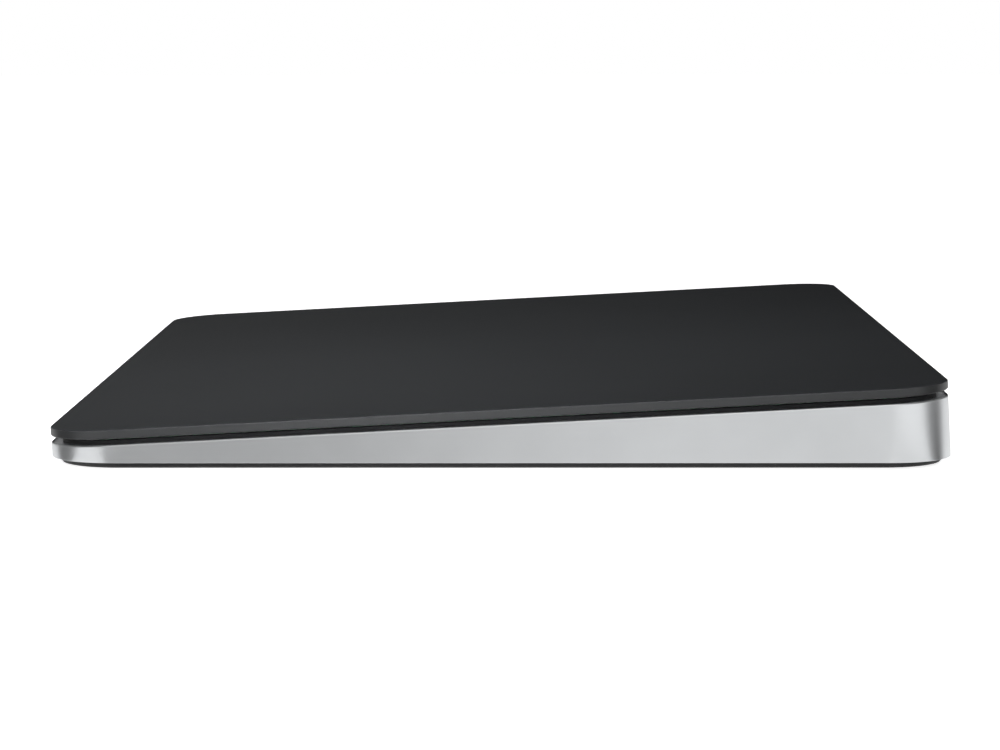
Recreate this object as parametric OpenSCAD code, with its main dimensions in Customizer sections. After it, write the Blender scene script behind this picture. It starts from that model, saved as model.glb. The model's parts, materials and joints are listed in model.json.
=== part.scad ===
// Desk trackpad: a glass touch plate on a force-sensing suspension, carried by a milled wedge housing.
// The origin is on the desk under the middle of the pad, X to the right, Y to the rear and Z up.
// The pad frame slopes with the glass: X across, V from the front edge up the slope, W square to the
// glass and zero on it. Most pieces are drawn in the pad frame, as (x, v) layers or (x, w) profiles.

/* [Body] */
// Width of the pad, left to right
pad_w = 160; // [150:1:180]
// Depth of the pad along its sloping top
pad_d = 114.5; // [108:0.5:130]
// Slope of the top, in degrees
slope = 3; // [2.75:0.25:6]
// Corner radius of the outline
corner_r = 8.4; // [7:0.2:14]
// Thickness of the housing's outer wall
wall_t = 3; // [2.6:0.1:3.6]
// Thickness of the housing's deck
deck_t = 0.6; // [0.5:0.05:1.2]
// Thickness of the ribs between the housing's pockets
rib_t = 2; // [1.2:0.1:2.6]
// Corner radius of the housing's pockets
pocket_r = 3; // [1:0.5:4]
// Corner radius of the windows in the deck
window_r = 1; // [0.5:0.1:2]
// Clear height under the deck at the front edge
front_bay = 0.05; // [0.05:0.05:3]
// Chamfer along the housing's rim
rim_chamfer = 0.15; // [0.1:0.05:0.4]

/* [Touch plate] */
// Thickness of the glass
glass_t = 1.15; // [0.9:0.05:2]
// Chamfer on the glass's upper edge
glass_chamfer = 0.06; // [0.05:0.01:0.4]
// Chamfer on the glass's lower edge
glass_low_chamfer = 0.2; // [0.1:0.05:0.4]
// Shadow gap between the glass and the housing's rim
shadow_gap = 0.77; // [0.6:0.01:1.2]
// Thickness of the bond sheet under the glass
bond_t = 0.1; // [0.05:0.01:0.3]
// Thickness of the sensor board
board_t = 0.75; // [0.6:0.05:1.2]
// Gap between the sensor board's edge and the housing's wall
board_gap = 0.6; // [0.4:0.1:2]
// Diameter of the sensor board's tooling notches
tooling_d = 2; // [1:0.1:3]
// Height of the chips under the sensor board
chip_h = 0.8; // [0.5:0.05:0.85]
// Size of the touch controller chip
controller_w = 7; // [5:0.5:8]
// Size of the two front-end chips
front_end_w = 4; // [3:0.5:6]
// Distance of the front-end chips from the pad's front edge
front_end_v = 33; // [30:0.5:40]
// Distance of the front-end chips from the pad's middle
front_end_x = 18; // [10:1:30]

/* [Travel] */
// How far the touch plate sinks when it is pressed
press_travel = 0.2; // [0.1:0.05:0.25]
// How far the touch plate shakes forward and back
shake_travel = 0.2; // [0.1:0.05:0.3]
// How far the power switch slides
switch_travel = 2; // [1.5:0.1:2.5]
// Gap that is left at the end of a travel
end_gap = 0.1; // [0.05:0.01:0.2]

/* [Suspension] */
// Distance of a gel pad's middle from the pad's two nearest edges
gel_inset = 13; // [11:0.5:16]
// Diameter of a gel pad
gel_d = 8; // [5:0.5:10]
// Thickness of a gel pad
gel_t = 0.5; // [0.45:0.05:1]
// Thickness of a flexure
leaf_t = 0.3; // [0.2:0.05:0.6]
// Height of a flexure over the deck
leaf_lift = 0.3; // [0.3:0.05:0.8]
// Length of a flexure, from its clamp's middle to the gel pad's middle
leaf_l = 17; // [14:0.5:22]
// Width of a flexure's neck
leaf_w = 5; // [3:0.5:7]
// Margin of a flexure's round tip around the gel pad
tip_lip = 0.5; // [0.2:0.1:1]
// Length of a flexure's clamp, across the pad
clamp_l = 6; // [4:0.5:8]
// Width of a flexure's clamp, along the slope
clamp_w = 14; // [11:0.5:16]
// Corner radius of a flexure's clamp
clamp_r = 1.5; // [0.5:0.1:1.8]
// Diameter of a rivet
rivet_d = 1.2; // [0.8:0.1:1.6]
// Diameter of a rivet's head
rivet_head_d = 2.4; // [1.8:0.1:3]
// Thickness of a rivet's head
rivet_head_t = 0.15; // [0.1:0.01:0.2]
// Distance between a clamp's two rivets
rivet_pitch = 9; // [6:0.5:10]
// Length of a strain gauge
gauge_l = 4; // [2:0.5:5]
// Width of a strain gauge
gauge_w = 3; // [1.5:0.5:4]
// Thickness of a strain gauge
gauge_t = 0.08; // [0.05:0.01:0.15]
// Distance of a strain gauge from the gel pad's middle
gauge_back = 9.5; // [8:0.1:10.5]

/* [Haptic engine] */
// Distance of the core from the pad's front edge
core_v = 52; // [51:0.5:54]
// Distance between the core's two screws
core_l = 62; // [56:0.5:66]
// Width of the core's back bar
core_back = 4; // [3:0.1:4.5]
// Thickness of the core
core_t = 1.4; // [1:0.1:1.6]
// Radius of the ears at the core's ends
ear_r = 2.8; // [2.4:0.1:3.2]
// Gap between the core's ears and the sides of its pocket
core_gap = 2; // [1:0.1:3]
// Free space in front of the core
core_front = 6; // [4:0.1:8]
// Height of the standoffs that carry the core and the logic board
standoff_h = 0.3; // [0.2:0.05:0.4]
// Distance between teeth
tooth_pitch = 13; // [9:0.5:14]
// Width of a tooth
tooth_w = 4; // [3:0.1:5]
// Length of a tooth
tooth_l = 5; // [4:0.1:6]
// Bare length at a tooth's free end
tooth_bare = 1; // [0.5:0.1:1.5]
// Thickness of a coil's winding
coil_t = 0.9; // [0.6:0.05:1]
// Gap between a coil and the core's back bar
coil_gap = 0.4; // [0.2:0.05:0.6]
// Thickness of the armature's web
armature_t = 2; // [1:0.1:2.5]
// Half length of the armature
armature_x = 26; // [20:0.5:26.5]
// Width of the armature's flange
flange_w = 4; // [2:0.5:5]
// Thickness of the armature's flange
flange_t = 0.7; // [0.4:0.05:0.75]

/* [Battery] */
// Width of the cell
cell_w = 108; // [90:1:120]
// Depth of the cell
cell_d = 27; // [20:0.5:30]
// Thickness of the cell
cell_t = 3.2; // [2.4:0.1:3.6]
// Corner radius of the cell
cell_r = 2.5; // [1:0.5:4]
// Distance of the cell from the left wall
cell_side = 3; // [1:0.5:4]
// Distance of the cell from the rear wall
cell_rear = 9.5; // [8.5:0.5:11]
// Width of the cell's sealed ledge
ledge_w = 4; // [3:0.5:5]
// Thickness of the cell's sealed ledge
ledge_t = 0.7; // [0.4:0.1:1]
// Thickness of the battery's tape
tape_t = 0.15; // [0.15:0.01:0.3]
// Width of each strip of battery tape
tape_w = 14; // [8:1:20]
// Distance of the tape strips from the cell's ends
tape_side = 20; // [10:1:30]
// Length of the battery's protection board
guard_l = 18; // [12:1:20]
// Width of the battery's protection board
guard_w = 3.5; // [2.5:0.1:3.8]
// Thickness of the battery's protection board
guard_t = 0.8; // [0.6:0.1:1.2]

/* [Logic board] */
// Gap between the logic board and the sides and front of its pocket
logic_gap = 1.5; // [0.8:0.1:2]
// Depth of the logic board
logic_d = 17; // [16:0.5:19]
// Thickness of the logic board
logic_t = 0.8; // [0.6:0.1:1]
// Corner radius of the logic board
logic_r = 1; // [0.5:0.1:1.5]
// Radius of the notch in the logic board's left edge
notch_r = 1.5; // [0.5:0.1:2]
// Distance of the logic board's screws from its edges
screw_inset = 2.2; // [2:0.1:2.6]
// Margin between the logic board's bosses and the window above it
window_edge = 0.6; // [0.3:0.1:1]
// Margin between the logic board's front and rear edges and the window above it
window_inset = 1.5; // [1:0.1:2]
// Height of a shield can
can_h = 1; // [0.8:0.05:1.2]
// Depth of a shield can
can_d = 11; // [9:0.5:12]
// Distance of the cans from the logic board's left edge
can_left = 4.5; // [4:0.1:5]
// Distance of the cans from the logic board's right edge
can_right = 7; // [5:0.1:8]
// Gap between the two cans
can_gap = 1.5; // [0.8:0.1:2]
// Thickness of a shield can's sheet
can_t = 0.15; // [0.1:0.05:0.25]
// Corner radius of a shield can
can_r = 0.6; // [0.4:0.1:1]
// Size of the processor chip
processor_w = 7; // [5:0.5:8]
// Size of the radio chip
radio_w = 5; // [3:0.5:7]
// Height of the sockets for the touch ribbon
socket_h = 0.5; // [0.4:0.05:0.6]
// Width of the sockets for the touch ribbon
socket_w = 11; // [8:0.5:12]
// Depth of the sockets for the touch ribbon
socket_d = 3; // [2:0.5:4]
// Margin between a socket or a chip and the edge of the window
socket_edge = 1; // [0.7:0.1:1.2]
// Thickness of the ribbons
ribbon_t = 0.12; // [0.08:0.01:0.14]
// Width of the narrow ribbons
ribbon_w = 2.2; // [1.5:0.1:2.4]
// Gap between ribbons that run side by side
ribbon_gap = 2; // [1:0.1:2.5]
// How far a ribbon reaches over the logic board's edge
ribbon_land = 3; // [2.4:0.1:4]

/* [Antenna] */
// Width of the antenna's carrier
antenna_w = 11; // [8:0.5:12]
// Length of the antenna's carrier
antenna_l = 27; // [20:0.5:30]
// Height of the antenna's carrier
antenna_h = 3; // [2:0.1:3.2]
// Distance of the antenna's carrier from the right wall
antenna_side = 1.5; // [1:0.1:2]
// Distance of the antenna's carrier from the logic board
antenna_gap = 6; // [4:0.1:8]
// Corner radius of the antenna's carrier
antenna_r = 1; // [0.5:0.1:2]
// Margin of the antenna's element on its carrier
element_edge = 1; // [0.5:0.1:2]
// Width of the antenna's track at the meander's turns
track_w = 2; // [1:0.1:2.5]
// Diameter of the antenna's cable
cable_d = 0.8; // [0.6:0.1:1]

/* [Fasteners] */
// Diameter of the screws' shanks
screw_d = 1.4; // [1:0.1:1.6]
// Diameter of the screws' heads
head_d = 2.6; // [2.2:0.1:3]
// Height of the screws' heads
head_h = 0.5; // [0.3:0.05:0.6]
// Diameter of the bosses for screws
boss_d = 3.6; // [3:0.1:4]
// Clearance around a shank
hole_gap = 0.1; // [0.05:0.01:0.15]

/* [Charge port] */
// Width of the opening
port_w = 8.34; // [8:0.02:9]
// Height of the opening
port_h = 2.56; // [2.4:0.02:3]
// Thickness of the shell
port_t = 0.3; // [0.2:0.05:0.4]
// Length of the shell
port_l = 7.3; // [6.5:0.1:8]
// How far the shell's mouth lies inside the rear face
port_recess = 0.3; // [0.2:0.05:0.8]
// Thickness of the tongue
tongue_t = 0.7; // [0.6:0.05:0.8]
// Gap between the tongue and the sides of the opening
tongue_gap = 0.82; // [0.6:0.02:1]
// How far the tongue's end lies inside the mouth
tongue_recess = 0.9; // [0.6:0.1:1.5]
// Corner radius of the tongue's section
tongue_r = 0.18; // [0.1:0.01:0.25]
// Thickness of the block behind the tongue
block_l = 1.2; // [0.8:0.1:2]
// Number of contacts on each side of the tongue
contact_n = 12; // [8:1:12]
// Distance between contacts
contact_pitch = 0.5; // [0.4:0.01:0.52]
// Width of a contact
contact_w = 0.25; // [0.15:0.01:0.3]
// Thickness of a contact
contact_t = 0.05; // [0.03:0.01:0.08]
// Length of a contact
contact_l = 3.4; // [2.5:0.1:4]
// Gap between the shell or the knob and the wall around it
wall_gap = 0.15; // [0.1:0.05:0.3]
// Thickness of the boards of the port and the switch
small_board_t = 0.6; // [0.5:0.05:0.8]
// Width of the port's board
port_board_w = 10.4; // [9.6:0.1:10.6]
// Gap between the port's board and the battery
port_board_gap = 1; // [0.6:0.1:1.5]
// Margin between the rear ribbon and the edge of the port's board
ribbon_edge = 0.2; // [0.1:0.05:0.4]
// Thickness of the bracket under the port
bracket_t = 0.3; // [0.2:0.05:0.5]
// Length of the bracket under the port
bracket_l = 3.2; // [2.5:0.1:3.6]
// Gap between the bracket's saddle and its bosses
saddle_gap = 0.9; // [0.6:0.1:1.5]
// Gap between the bracket's bosses and the rear wall
boss_gap = 0.9; // [0.5:0.1:1.2]
// Height of the bracket's ears over the port's middle
ear_rise = 0.7; // [0.4:0.1:1]

/* [Power switch] */
// Distance of the switch's middle from the right side
switch_side = 32; // [28:0.5:36]
// Length of the slider's knob
knob_l = 5; // [4:0.1:6]
// Height of the slider's knob
knob_h = 2.2; // [1.6:0.1:2.6]
// How far the knob's face lies inside the rear face
knob_recess = 0.2; // [0.1:0.05:0.6]
// Number of grip grooves on the knob
groove_n = 5; // [3:1:6]
// Width of a grip groove
groove_w = 0.3; // [0.2:0.05:0.35]
// Depth of a grip groove
groove_d = 0.2; // [0.1:0.05:0.3]
// Thickness of the slider's flange
slide_t = 0.6; // [0.4:0.05:0.8]
// How far the slider's flange reaches past the knob's ends
slide_lap = 1.6; // [1.3:0.1:2]
// How far the slider's flange reaches past the knob's top and bottom
slide_lip = 0.6; // [0.4:0.1:0.8]
// Width of the slider's pin
pin_w = 1.2; // [0.8:0.1:1.6]
// Length of the slider's pin
pin_l = 1.4; // [1:0.1:1.8]
// Gap around the slider's pin and behind the flange
pin_gap = 0.25; // [0.15:0.05:0.4]
// Thickness of the switch body's walls
body_t = 2.8; // [1:0.1:3]
// Depth of the switch body
body_d = 3.2; // [2.6:0.1:3.6]
// How far the switch's board reaches past the switch body
switch_board_lap = 1.5; // [0.5:0.1:2]

/* [Base] */
// Thickness of the base cover
base_t = 0.65; // [0.6:0.05:1.2]
// Distance of the base cover inside the housing's underside
base_inset = 1.05; // [0.8:0.05:1.6]
// How much smaller the base cover's corner radius is than the housing's
base_corner_less = 0.3; // [0:0.1:1.5]
// Chamfer under the base cover's edge
base_chamfer = 0.2; // [0.1:0.05:0.3]
// Thickness of the seal between base cover and housing
seal_t = 0.1; // [0.05:0.01:0.3]
// Distance of the seal inside the base cover's edge
seal_edge = 0.2; // [0.1:0.05:0.4]
// Width of the seal
seal_w = 1.3; // [0.8:0.1:1.4]
// Diameter of a foot
foot_d = 11; // [8:0.5:14]
// Height that a foot stands out
foot_proud = 0.4; // [0.3:0.05:1]
// Depth that a foot is let into the base cover
foot_sink = 0.3; // [0.2:0.05:0.4]
// Distance of a foot's middle from the base cover's edges
foot_inset = 14; // [10:0.5:20]
// Rounding of a foot's lower edge
foot_round = 0.25; // [0.1:0.05:0.3]

/* [Gasket] */
// Distance of the gasket inside the outline
gasket_inset = 1.5; // [1.2:0.1:1.7]
// Width of the gasket
gasket_w = 0.9; // [0.5:0.1:1]

/* [Hidden] */
$fn = 64;

// Depths of the layers below the top of the glass
board_top = glass_t + bond_t;
board_low = board_top + board_t;
leaf_top = board_low + gel_t;
leaf_low = leaf_top + leaf_t;
deck_top = leaf_low + leaf_lift;
deck_low = deck_top + deck_t;
rim_low = glass_t + shadow_gap;
logic_top = deck_low + standoff_h;
logic_low = logic_top + logic_t;

// Heights over the desk, and the housing's underside, which the slope stretches and shifts
base_top = foot_proud + base_t;
housing_low = base_top + seal_t;
front_h = housing_low + (deck_low + front_bay) * cos(slope);
rear_h = front_h + pad_d * sin(slope);
under_d = pad_d / cos(slope);
under_shift = (front_h - housing_low) * tan(slope);
front_y = -(under_d + under_shift) / 2;
under_y = front_y + under_shift + under_d / 2;

// A depth below everything, for cuts that run out of the housing's underside
deep = 2 * rear_h;

// Places across the pad and along the slope
in_x = pad_w / 2 - wall_t;
rear_v = pad_d - wall_t;
gel_x = pad_w / 2 - gel_inset;
gauge_x = gel_x - gauge_back;

// The haptic engine, from the front: back bar, teeth, air gap and the armature's web
tooth_n = 4;
tooth_v = core_v + core_back;
air_gap = shake_travel + 2 * end_gap;
web_v = tooth_v + tooth_l + air_gap;
core_low = logic_top + core_t;
core_mid = logic_top + core_t / 2;
window_gap = shake_travel + 4 * end_gap;
window_x = core_l / 2 - ear_r;
window_v1 = web_v + armature_t + window_gap;
haptic_x = core_l / 2 + ear_r + core_gap;
mid_v0 = core_v - core_front;
mid_v1 = window_v1 + rib_t;
coil_w = tooth_w + 2 * (hole_gap + coil_t);
coil_h = core_t + 2 * (hole_gap + coil_t);

// The battery, and the logic board that fills its own pocket
cell_x0 = cell_side - in_x;
cell_x1 = cell_x0 + cell_w;
cell_v1 = rear_v - cell_rear;
cell_v0 = cell_v1 - cell_d;
cell_top = deck_low + tape_t;
ledge_x = cell_x1 + ledge_w;
logic_x0 = haptic_x + rib_t + logic_gap;
logic_x1 = in_x - logic_gap;
logic_v0 = mid_v0 + logic_gap;
logic_v1 = logic_v0 + logic_d;
logic_holes = [
  [logic_x0 + screw_inset, logic_v0 + screw_inset],
  [logic_x1 - screw_inset, logic_v0 + screw_inset],
  [logic_x1 - screw_inset, logic_v1 - screw_inset]
];
can_v = (logic_v0 + logic_v1 - can_d) / 2;
can_x = [logic_x0 + can_left, logic_x1 - can_right];
can_w = (can_x[1] - can_x[0] - can_gap) / 2;

// The window over the logic board, through which the touch ribbon comes down
control_x0 = logic_x0 + screw_inset + boss_d / 2 + window_edge;
control_x1 = logic_x1 - screw_inset - boss_d / 2 - window_edge;
control_v0 = logic_v0 + window_inset;
control_v1 = logic_v1 - window_inset;
ribbon_x = control_x1 - socket_edge - socket_w / 2;
socket_v = control_v0 + socket_edge + socket_d / 2;

// The antenna and the ribbons under the deck: the battery's lead and the rear ribbon run side by side
antenna_x1 = in_x - antenna_side;
antenna_x0 = antenna_x1 - antenna_w;
antenna_v0 = logic_v1 + antenna_gap;
lead_x = max(ledge_x, logic_x0) + ribbon_gap;
lead_v = cell_v0 + cell_r + guard_l / 2;
rear_x = lead_x + ribbon_w + ribbon_gap;
land_v = logic_v1 - ribbon_land;

// The charge port and the power switch share one height on the rear wall
shell_w = port_w + 2 * port_t;
shell_h = port_h + 2 * port_t;
port_low = deck_low + small_board_t + shell_h / 2;
mouth_v = pad_d - port_recess;
shell_v = mouth_v - port_l;
tongue_v1 = mouth_v - tongue_recess;
port_board_v = cell_v1 + port_board_gap;
ribbon_v = port_board_v + ribbon_edge;
saddle_w = shell_w + 2 * (wall_gap + bracket_t);
saddle_h = shell_h + 2 * (wall_gap + bracket_t);
boss_x = saddle_w / 2 + saddle_gap + boss_d / 2;
boss_v = rear_v - boss_gap - boss_d / 2;
boss_low = port_low - ear_rise;
switch_x = pad_w / 2 - switch_side;
slider_x = switch_x - switch_travel / 2;
slide_v = rear_v - wall_gap - slide_t;
body_v1 = slide_v - pin_gap;
body_top = deck_low + small_board_t;
body_w = pin_w + switch_travel + 2 * (pin_gap + body_t);

// The base cover
base_w = pad_w - 2 * base_inset;
base_d = under_d - 2 * base_inset;
base_r = corner_r - base_corner_less;

// Puts children into the sloping pad frame
module on_pad() translate([0, front_y, front_h]) rotate([slope, 0, 0]) children();

// A flat layer of the pad between two depths below the glass
module layer(top, low) translate([0, 0, -low]) linear_extrude(low - top) children();

// An (x, w) profile carried along the slope, and a (v, w) profile carried across the pad
module along_v(v0, v1) translate([0, v1, 0]) rotate([90, 0, 0]) linear_extrude(v1 - v0) children();
module along_x(x0, x1) translate([x0, 0, 0]) rotate([90, 0, 90]) linear_extrude(x1 - x0) children();

// A rectangle with round corners about the origin, one between two corners, and a slot with round ends
module rounded(w, d, r) {
  square([w - 2 * r, d], center = true);
  square([w, d - 2 * r], center = true);
  for (sx = [-1, 1], sy = [-1, 1]) translate([sx * (w / 2 - r), sy * (d / 2 - r)]) circle(r);
}
module field(x0, x1, v0, v1, r) translate([(x0 + x1) / 2, (v0 + v1) / 2]) rounded(x1 - x0, v1 - v0, r);
module strip(x0, x1, v0, v1) translate([x0, v0]) square([x1 - x0, v1 - v0]);
module block(x, v, w, d) translate([x - w / 2, v - d / 2]) square([w, d]);
module stadium(l, h) {
  square([l - h, h], center = true);
  for (s = [-1, 1]) translate([s * (l - h) / 2, 0]) circle(d = h);
}
module outline(inset) translate([0, pad_d / 2])
  rounded(pad_w - 2 * inset, pad_d - 2 * inset, corner_r - inset);

// A slab with round corners and chamfered edges, its top at zero: two crossing bars and four turned corners
function edge(half, t, top_c, low_c) = concat(
  low_c > 0 ? [[half - low_c, -t], [half, low_c - t]] : [[half, -t]],
  top_c > 0 ? [[half, -top_c], [half - top_c, 0]] : [[half, 0]]
);
module bar(half, l, t, top_c, low_c) {
  right = edge(half, t, top_c, low_c);
  left = [for (i = [len(right) - 1 : -1 : 0]) [-right[i][0], right[i][1]]];
  rotate([90, 0, 0]) linear_extrude(l, center = true) polygon(concat(right, left));
}
module slab(w, d, r, t, top_c, low_c) {
  bar(w / 2, d - 2 * r, t, top_c, low_c);
  rotate([0, 0, 90]) bar(d / 2, w - 2 * r, t, top_c, low_c);
  for (sx = [-1, 1], sy = [-1, 1]) translate([sx * (w / 2 - r), sy * (d / 2 - r), 0])
    rotate_extrude() polygon(concat([[0, -t]], edge(r, t, top_c, low_c), [[0, 0]]));
}

// Children at each place of a list, at one corner's gel pad, or at all four
module at_each(places) for (p = places) translate(p) children();
module at_corner(sx, sy) translate([sx * gel_x, sy < 0 ? gel_inset : pad_d - gel_inset])
  mirror([sx < 0 ? 1 : 0, 0]) children();
module at_corners() for (sx = [-1, 1], sy = [-1, 1]) at_corner(sx, sy) children();

// Touch plate
module touch_glass() color("#26272a") on_pad() translate([0, pad_d / 2, 0])
  slab(pad_w, pad_d, corner_r, glass_t, glass_chamfer, glass_low_chamfer);
module glass_bond_sheet() color("#3a3a3e") on_pad() layer(glass_t, board_top) outline(wall_t + board_gap);
module sensor_board() color("#1f4a33") on_pad() layer(board_top, board_low) difference() {
  outline(wall_t + board_gap);
  for (s = [-1, 1]) translate([s * (in_x - board_gap), pad_d / 2]) circle(d = tooling_d);
  for (s = [-1, 1]) translate([s * in_x / 2, wall_t + board_gap]) circle(d = tooling_d);
}
module touch_chips() color("#202022") on_pad() layer(board_low, board_low + chip_h) {
  controller_x = control_x0 + socket_edge + controller_w / 2;
  block(controller_x, (control_v0 + control_v1) / 2, controller_w, controller_w);
  for (s = [-1, 1]) block(s * front_end_x, front_end_v, front_end_w, front_end_w);
}
module sensor_socket() color("#2b2b2b") on_pad() layer(board_low, board_low + socket_h)
  block(ribbon_x, socket_v, socket_w, socket_d);
module armature_bar() color("#8c8f92") on_pad() along_x(-armature_x, armature_x) {
  translate([web_v, -core_low]) square([armature_t, core_low - board_low]);
  translate([web_v, -board_low - flange_t]) square([armature_t + flange_w, flange_t]);
}

// Suspension: a leaf from its clamp on the deck to a gel pad under the sensor board, with a strain gauge
module gel_pad(sx, sy) color("#d8d4c4") on_pad() layer(board_low, leaf_top) at_corner(sx, sy)
  circle(d = gel_d);
module clamp_outline() translate([-leaf_l, 0]) rounded(clamp_l, clamp_w, clamp_r);
module rivet_places() for (s = [-1, 1]) translate([-leaf_l, s * rivet_pitch / 2]) children();
module flexure(sx, sy) color("#b9bcc0") on_pad() layer(leaf_top, leaf_low) at_corner(sx, sy) difference() {
  union() {
    circle(d = gel_d + 2 * tip_lip);
    translate([-leaf_l, -leaf_w / 2]) square([leaf_l, leaf_w]);
    clamp_outline();
  }
  rivet_places() circle(d = rivet_d + 2 * hole_gap);
}
module strain_gauges() color("#c98b3c") on_pad() layer(leaf_top - gauge_t, leaf_top) at_corners()
  block(-gauge_back, 0, gauge_l, gauge_w);
module flexure_rivets() color("#9a9da0") on_pad() {
  layer(leaf_top - rivet_head_t, deck_low) at_corners() rivet_places() circle(d = rivet_d);
  layer(leaf_top - rivet_head_t, leaf_top) at_corners() rivet_places() circle(d = rivet_head_d);
}

// The gauges' ribbon lies on the deck and drops through the window to the logic board
module gauge_ribbon() color("#b5651d") on_pad() {
  front_run = gel_inset + clamp_w / 2 + ribbon_gap;
  rear_run = pad_d - front_run - ribbon_w;
  rise_x = (window_x + control_x0 - ribbon_w) / 2;
  drop_v = (control_v0 + control_v1 + controller_w) / 2 + ribbon_t;
  drop_x = control_x0 + socket_edge;
  layer(deck_top - ribbon_t, deck_top) {
    strip(-gauge_x, gauge_x, front_run, front_run + ribbon_w);
    for (s = [-1, 1])
      block(s * gauge_x, (gel_inset + front_run + ribbon_w) / 2, ribbon_w, front_run + ribbon_w - gel_inset);
    strip(-gauge_x - ribbon_w / 2, ribbon_w / 2 - gauge_x, front_run, pad_d - gel_inset);
    strip(rise_x, rise_x + ribbon_w, front_run, rear_run + ribbon_w);
    strip(rise_x, gauge_x, rear_run, rear_run + ribbon_w);
    strip(gauge_x - ribbon_w / 2, gauge_x + ribbon_w / 2, rear_run, pad_d - gel_inset);
    strip(rise_x, drop_x, drop_v, drop_v + ribbon_w);
  }
  layer(deck_top - ribbon_t, logic_top) strip(drop_x - ribbon_t, drop_x, drop_v, drop_v + ribbon_w);
}

// Housing: a wedge with a recess for the touch plate above a thin deck, and pockets for the works below it
module housing() color("silver") difference() {
  union() {
    difference() {
      on_pad() translate([0, pad_d / 2, -rim_low]) slab(pad_w, pad_d, corner_r, deep, rim_chamfer, 0);
      translate([0, 0, housing_low - deep]) linear_extrude(deep) square(2 * (pad_w + pad_d), center = true);
      on_pad() {
        layer(0, deck_top) outline(wall_t);
        layer(deck_low, 2 * deep) intersection() {
          outline(wall_t);
          pockets();
        }
        layer(rim_low, logic_low) windows();
      }
    }
    on_pad() bosses();
  }
  on_pad() {
    layer(rim_low, logic_low) at_corners() rivet_places() circle(d = rivet_d + 2 * hole_gap);
    layer(rim_low, 2 * boss_low) screw_places() circle(d = screw_d);
    layer(deck_low, logic_top) strip(haptic_x - rib_t, haptic_x + 2 * rib_t, tooth_v, tooth_v + 2 * ribbon_w);
    along_v(rear_v - wall_t, pad_d + wall_t) translate([0, -port_low])
      stadium(shell_w + 2 * wall_gap, shell_h + 2 * wall_gap);
    along_v(rear_v - wall_t, pad_d + wall_t) translate([switch_x, -port_low])
      stadium(knob_l + switch_travel + 2 * wall_gap, knob_h + 2 * wall_gap);
  }
}
module pockets() {
  field(-in_x, in_x, wall_t, mid_v0 - rib_t, pocket_r);
  field(-in_x, -haptic_x - rib_t, mid_v0, mid_v1, pocket_r);
  field(-haptic_x, haptic_x, mid_v0, mid_v1, pocket_r);
  field(haptic_x + rib_t, in_x, mid_v0, mid_v1 + rib_t + 3 * pocket_r, pocket_r);
  field(-in_x, in_x, mid_v1 + rib_t, rear_v, pocket_r);
}
module windows() {
  field(-window_x, window_x, core_v - window_gap, window_v1, window_r);
  field(control_x0, control_x1, control_v0, control_v1, window_r);
}
module bosses() {
  layer(leaf_low, deck_low) at_corners() clamp_outline();
  layer(deck_top, logic_top) {
    core_screws() circle(d = boss_d);
    at_each(logic_holes) circle(d = boss_d);
  }
  layer(deck_top, boss_low) port_screws() circle(d = boss_d);
}
module core_screws() for (s = [-1, 1]) translate([s * core_l / 2, core_v + core_back / 2]) children();
module port_screws() for (s = [-1, 1]) translate([s * boss_x, boss_v]) children();
module screw_places() {
  core_screws() children();
  at_each(logic_holes) children();
  port_screws() children();
}

// A ring on the rim that keeps dust out, clear of the glass at full press
module rim_gasket() color("#1b1b1d") on_pad() layer(glass_t + press_travel + end_gap, rim_low) difference() {
  outline(gasket_inset);
  outline(gasket_inset + gasket_w);
}

// Base cover, its seal and the four feet
module base_plan(inset) translate([0, under_y])
  rounded(base_w - 2 * inset, base_d - 2 * inset, base_r - inset);
module base_cover() color("#2c2c2e") difference() {
  translate([0, under_y, base_top]) slab(base_w, base_d, base_r, base_t, 0, base_chamfer);
  for (sx = [-1, 1], sy = [-1, 1]) at_foot(sx, sy)
    cylinder(h = 2 * foot_sink, d = foot_d + 2 * hole_gap, center = true);
}
module base_seal() color("#3c3c3e") translate([0, 0, base_top]) linear_extrude(seal_t) difference() {
  base_plan(seal_edge);
  base_plan(seal_edge + seal_w);
}
module at_foot(sx, sy) translate([
  sx * (base_w / 2 - foot_inset),
  under_y + sy * (base_d / 2 - foot_inset),
  foot_proud
]) children();
module foot(sx, sy) color("#3a3a3c") at_foot(sx, sy) rotate_extrude() difference() {
  translate([0, -foot_proud]) square([foot_d / 2, foot_proud + foot_sink]);
  translate([foot_d / 2 - foot_round, -foot_proud]) difference() {
    square(foot_round);
    translate([0, foot_round]) circle(foot_round);
  }
}

// Battery: a pouch with a sealed ledge, its tapes, its protection board and its lead
module battery_cell() color("#8f9296") on_pad() {
  layer(cell_top, cell_top + cell_t) field(cell_x0, cell_x1, cell_v0, cell_v1, cell_r);
  layer(cell_top, cell_top + ledge_t) strip(cell_x1 - cell_r, ledge_x, cell_v0 + cell_r, cell_v1 - cell_r);
}
module battery_tapes() color("#e6e2d0") on_pad() layer(deck_low, cell_top)
  for (x = [cell_x0 + tape_side, cell_x1 - tape_side])
    block(x, (cell_v0 + cell_v1) / 2, tape_w, cell_d - 2 * cell_r);
module battery_board() color("#1f4a33") on_pad() layer(cell_top + ledge_t, cell_top + ledge_t + guard_t)
  strip(ledge_x - guard_w, ledge_x, cell_v0 + cell_r, cell_v0 + cell_r + guard_l);
module battery_lead() color("#b5651d") on_pad() {
  layer(deck_low, deck_low + ribbon_t) {
    strip(ledge_x, lead_x + ribbon_w, lead_v, lead_v + ribbon_w);
    strip(lead_x, lead_x + ribbon_w, land_v, lead_v + ribbon_w);
  }
  layer(deck_low, cell_top + ledge_t + guard_t) strip(ledge_x, ledge_x + ledge_t, lead_v, lead_v + ribbon_w);
  layer(deck_low, logic_top) block(lead_x + ribbon_w / 2, land_v + ribbon_w / 2, ribbon_w, ribbon_w);
}

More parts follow.
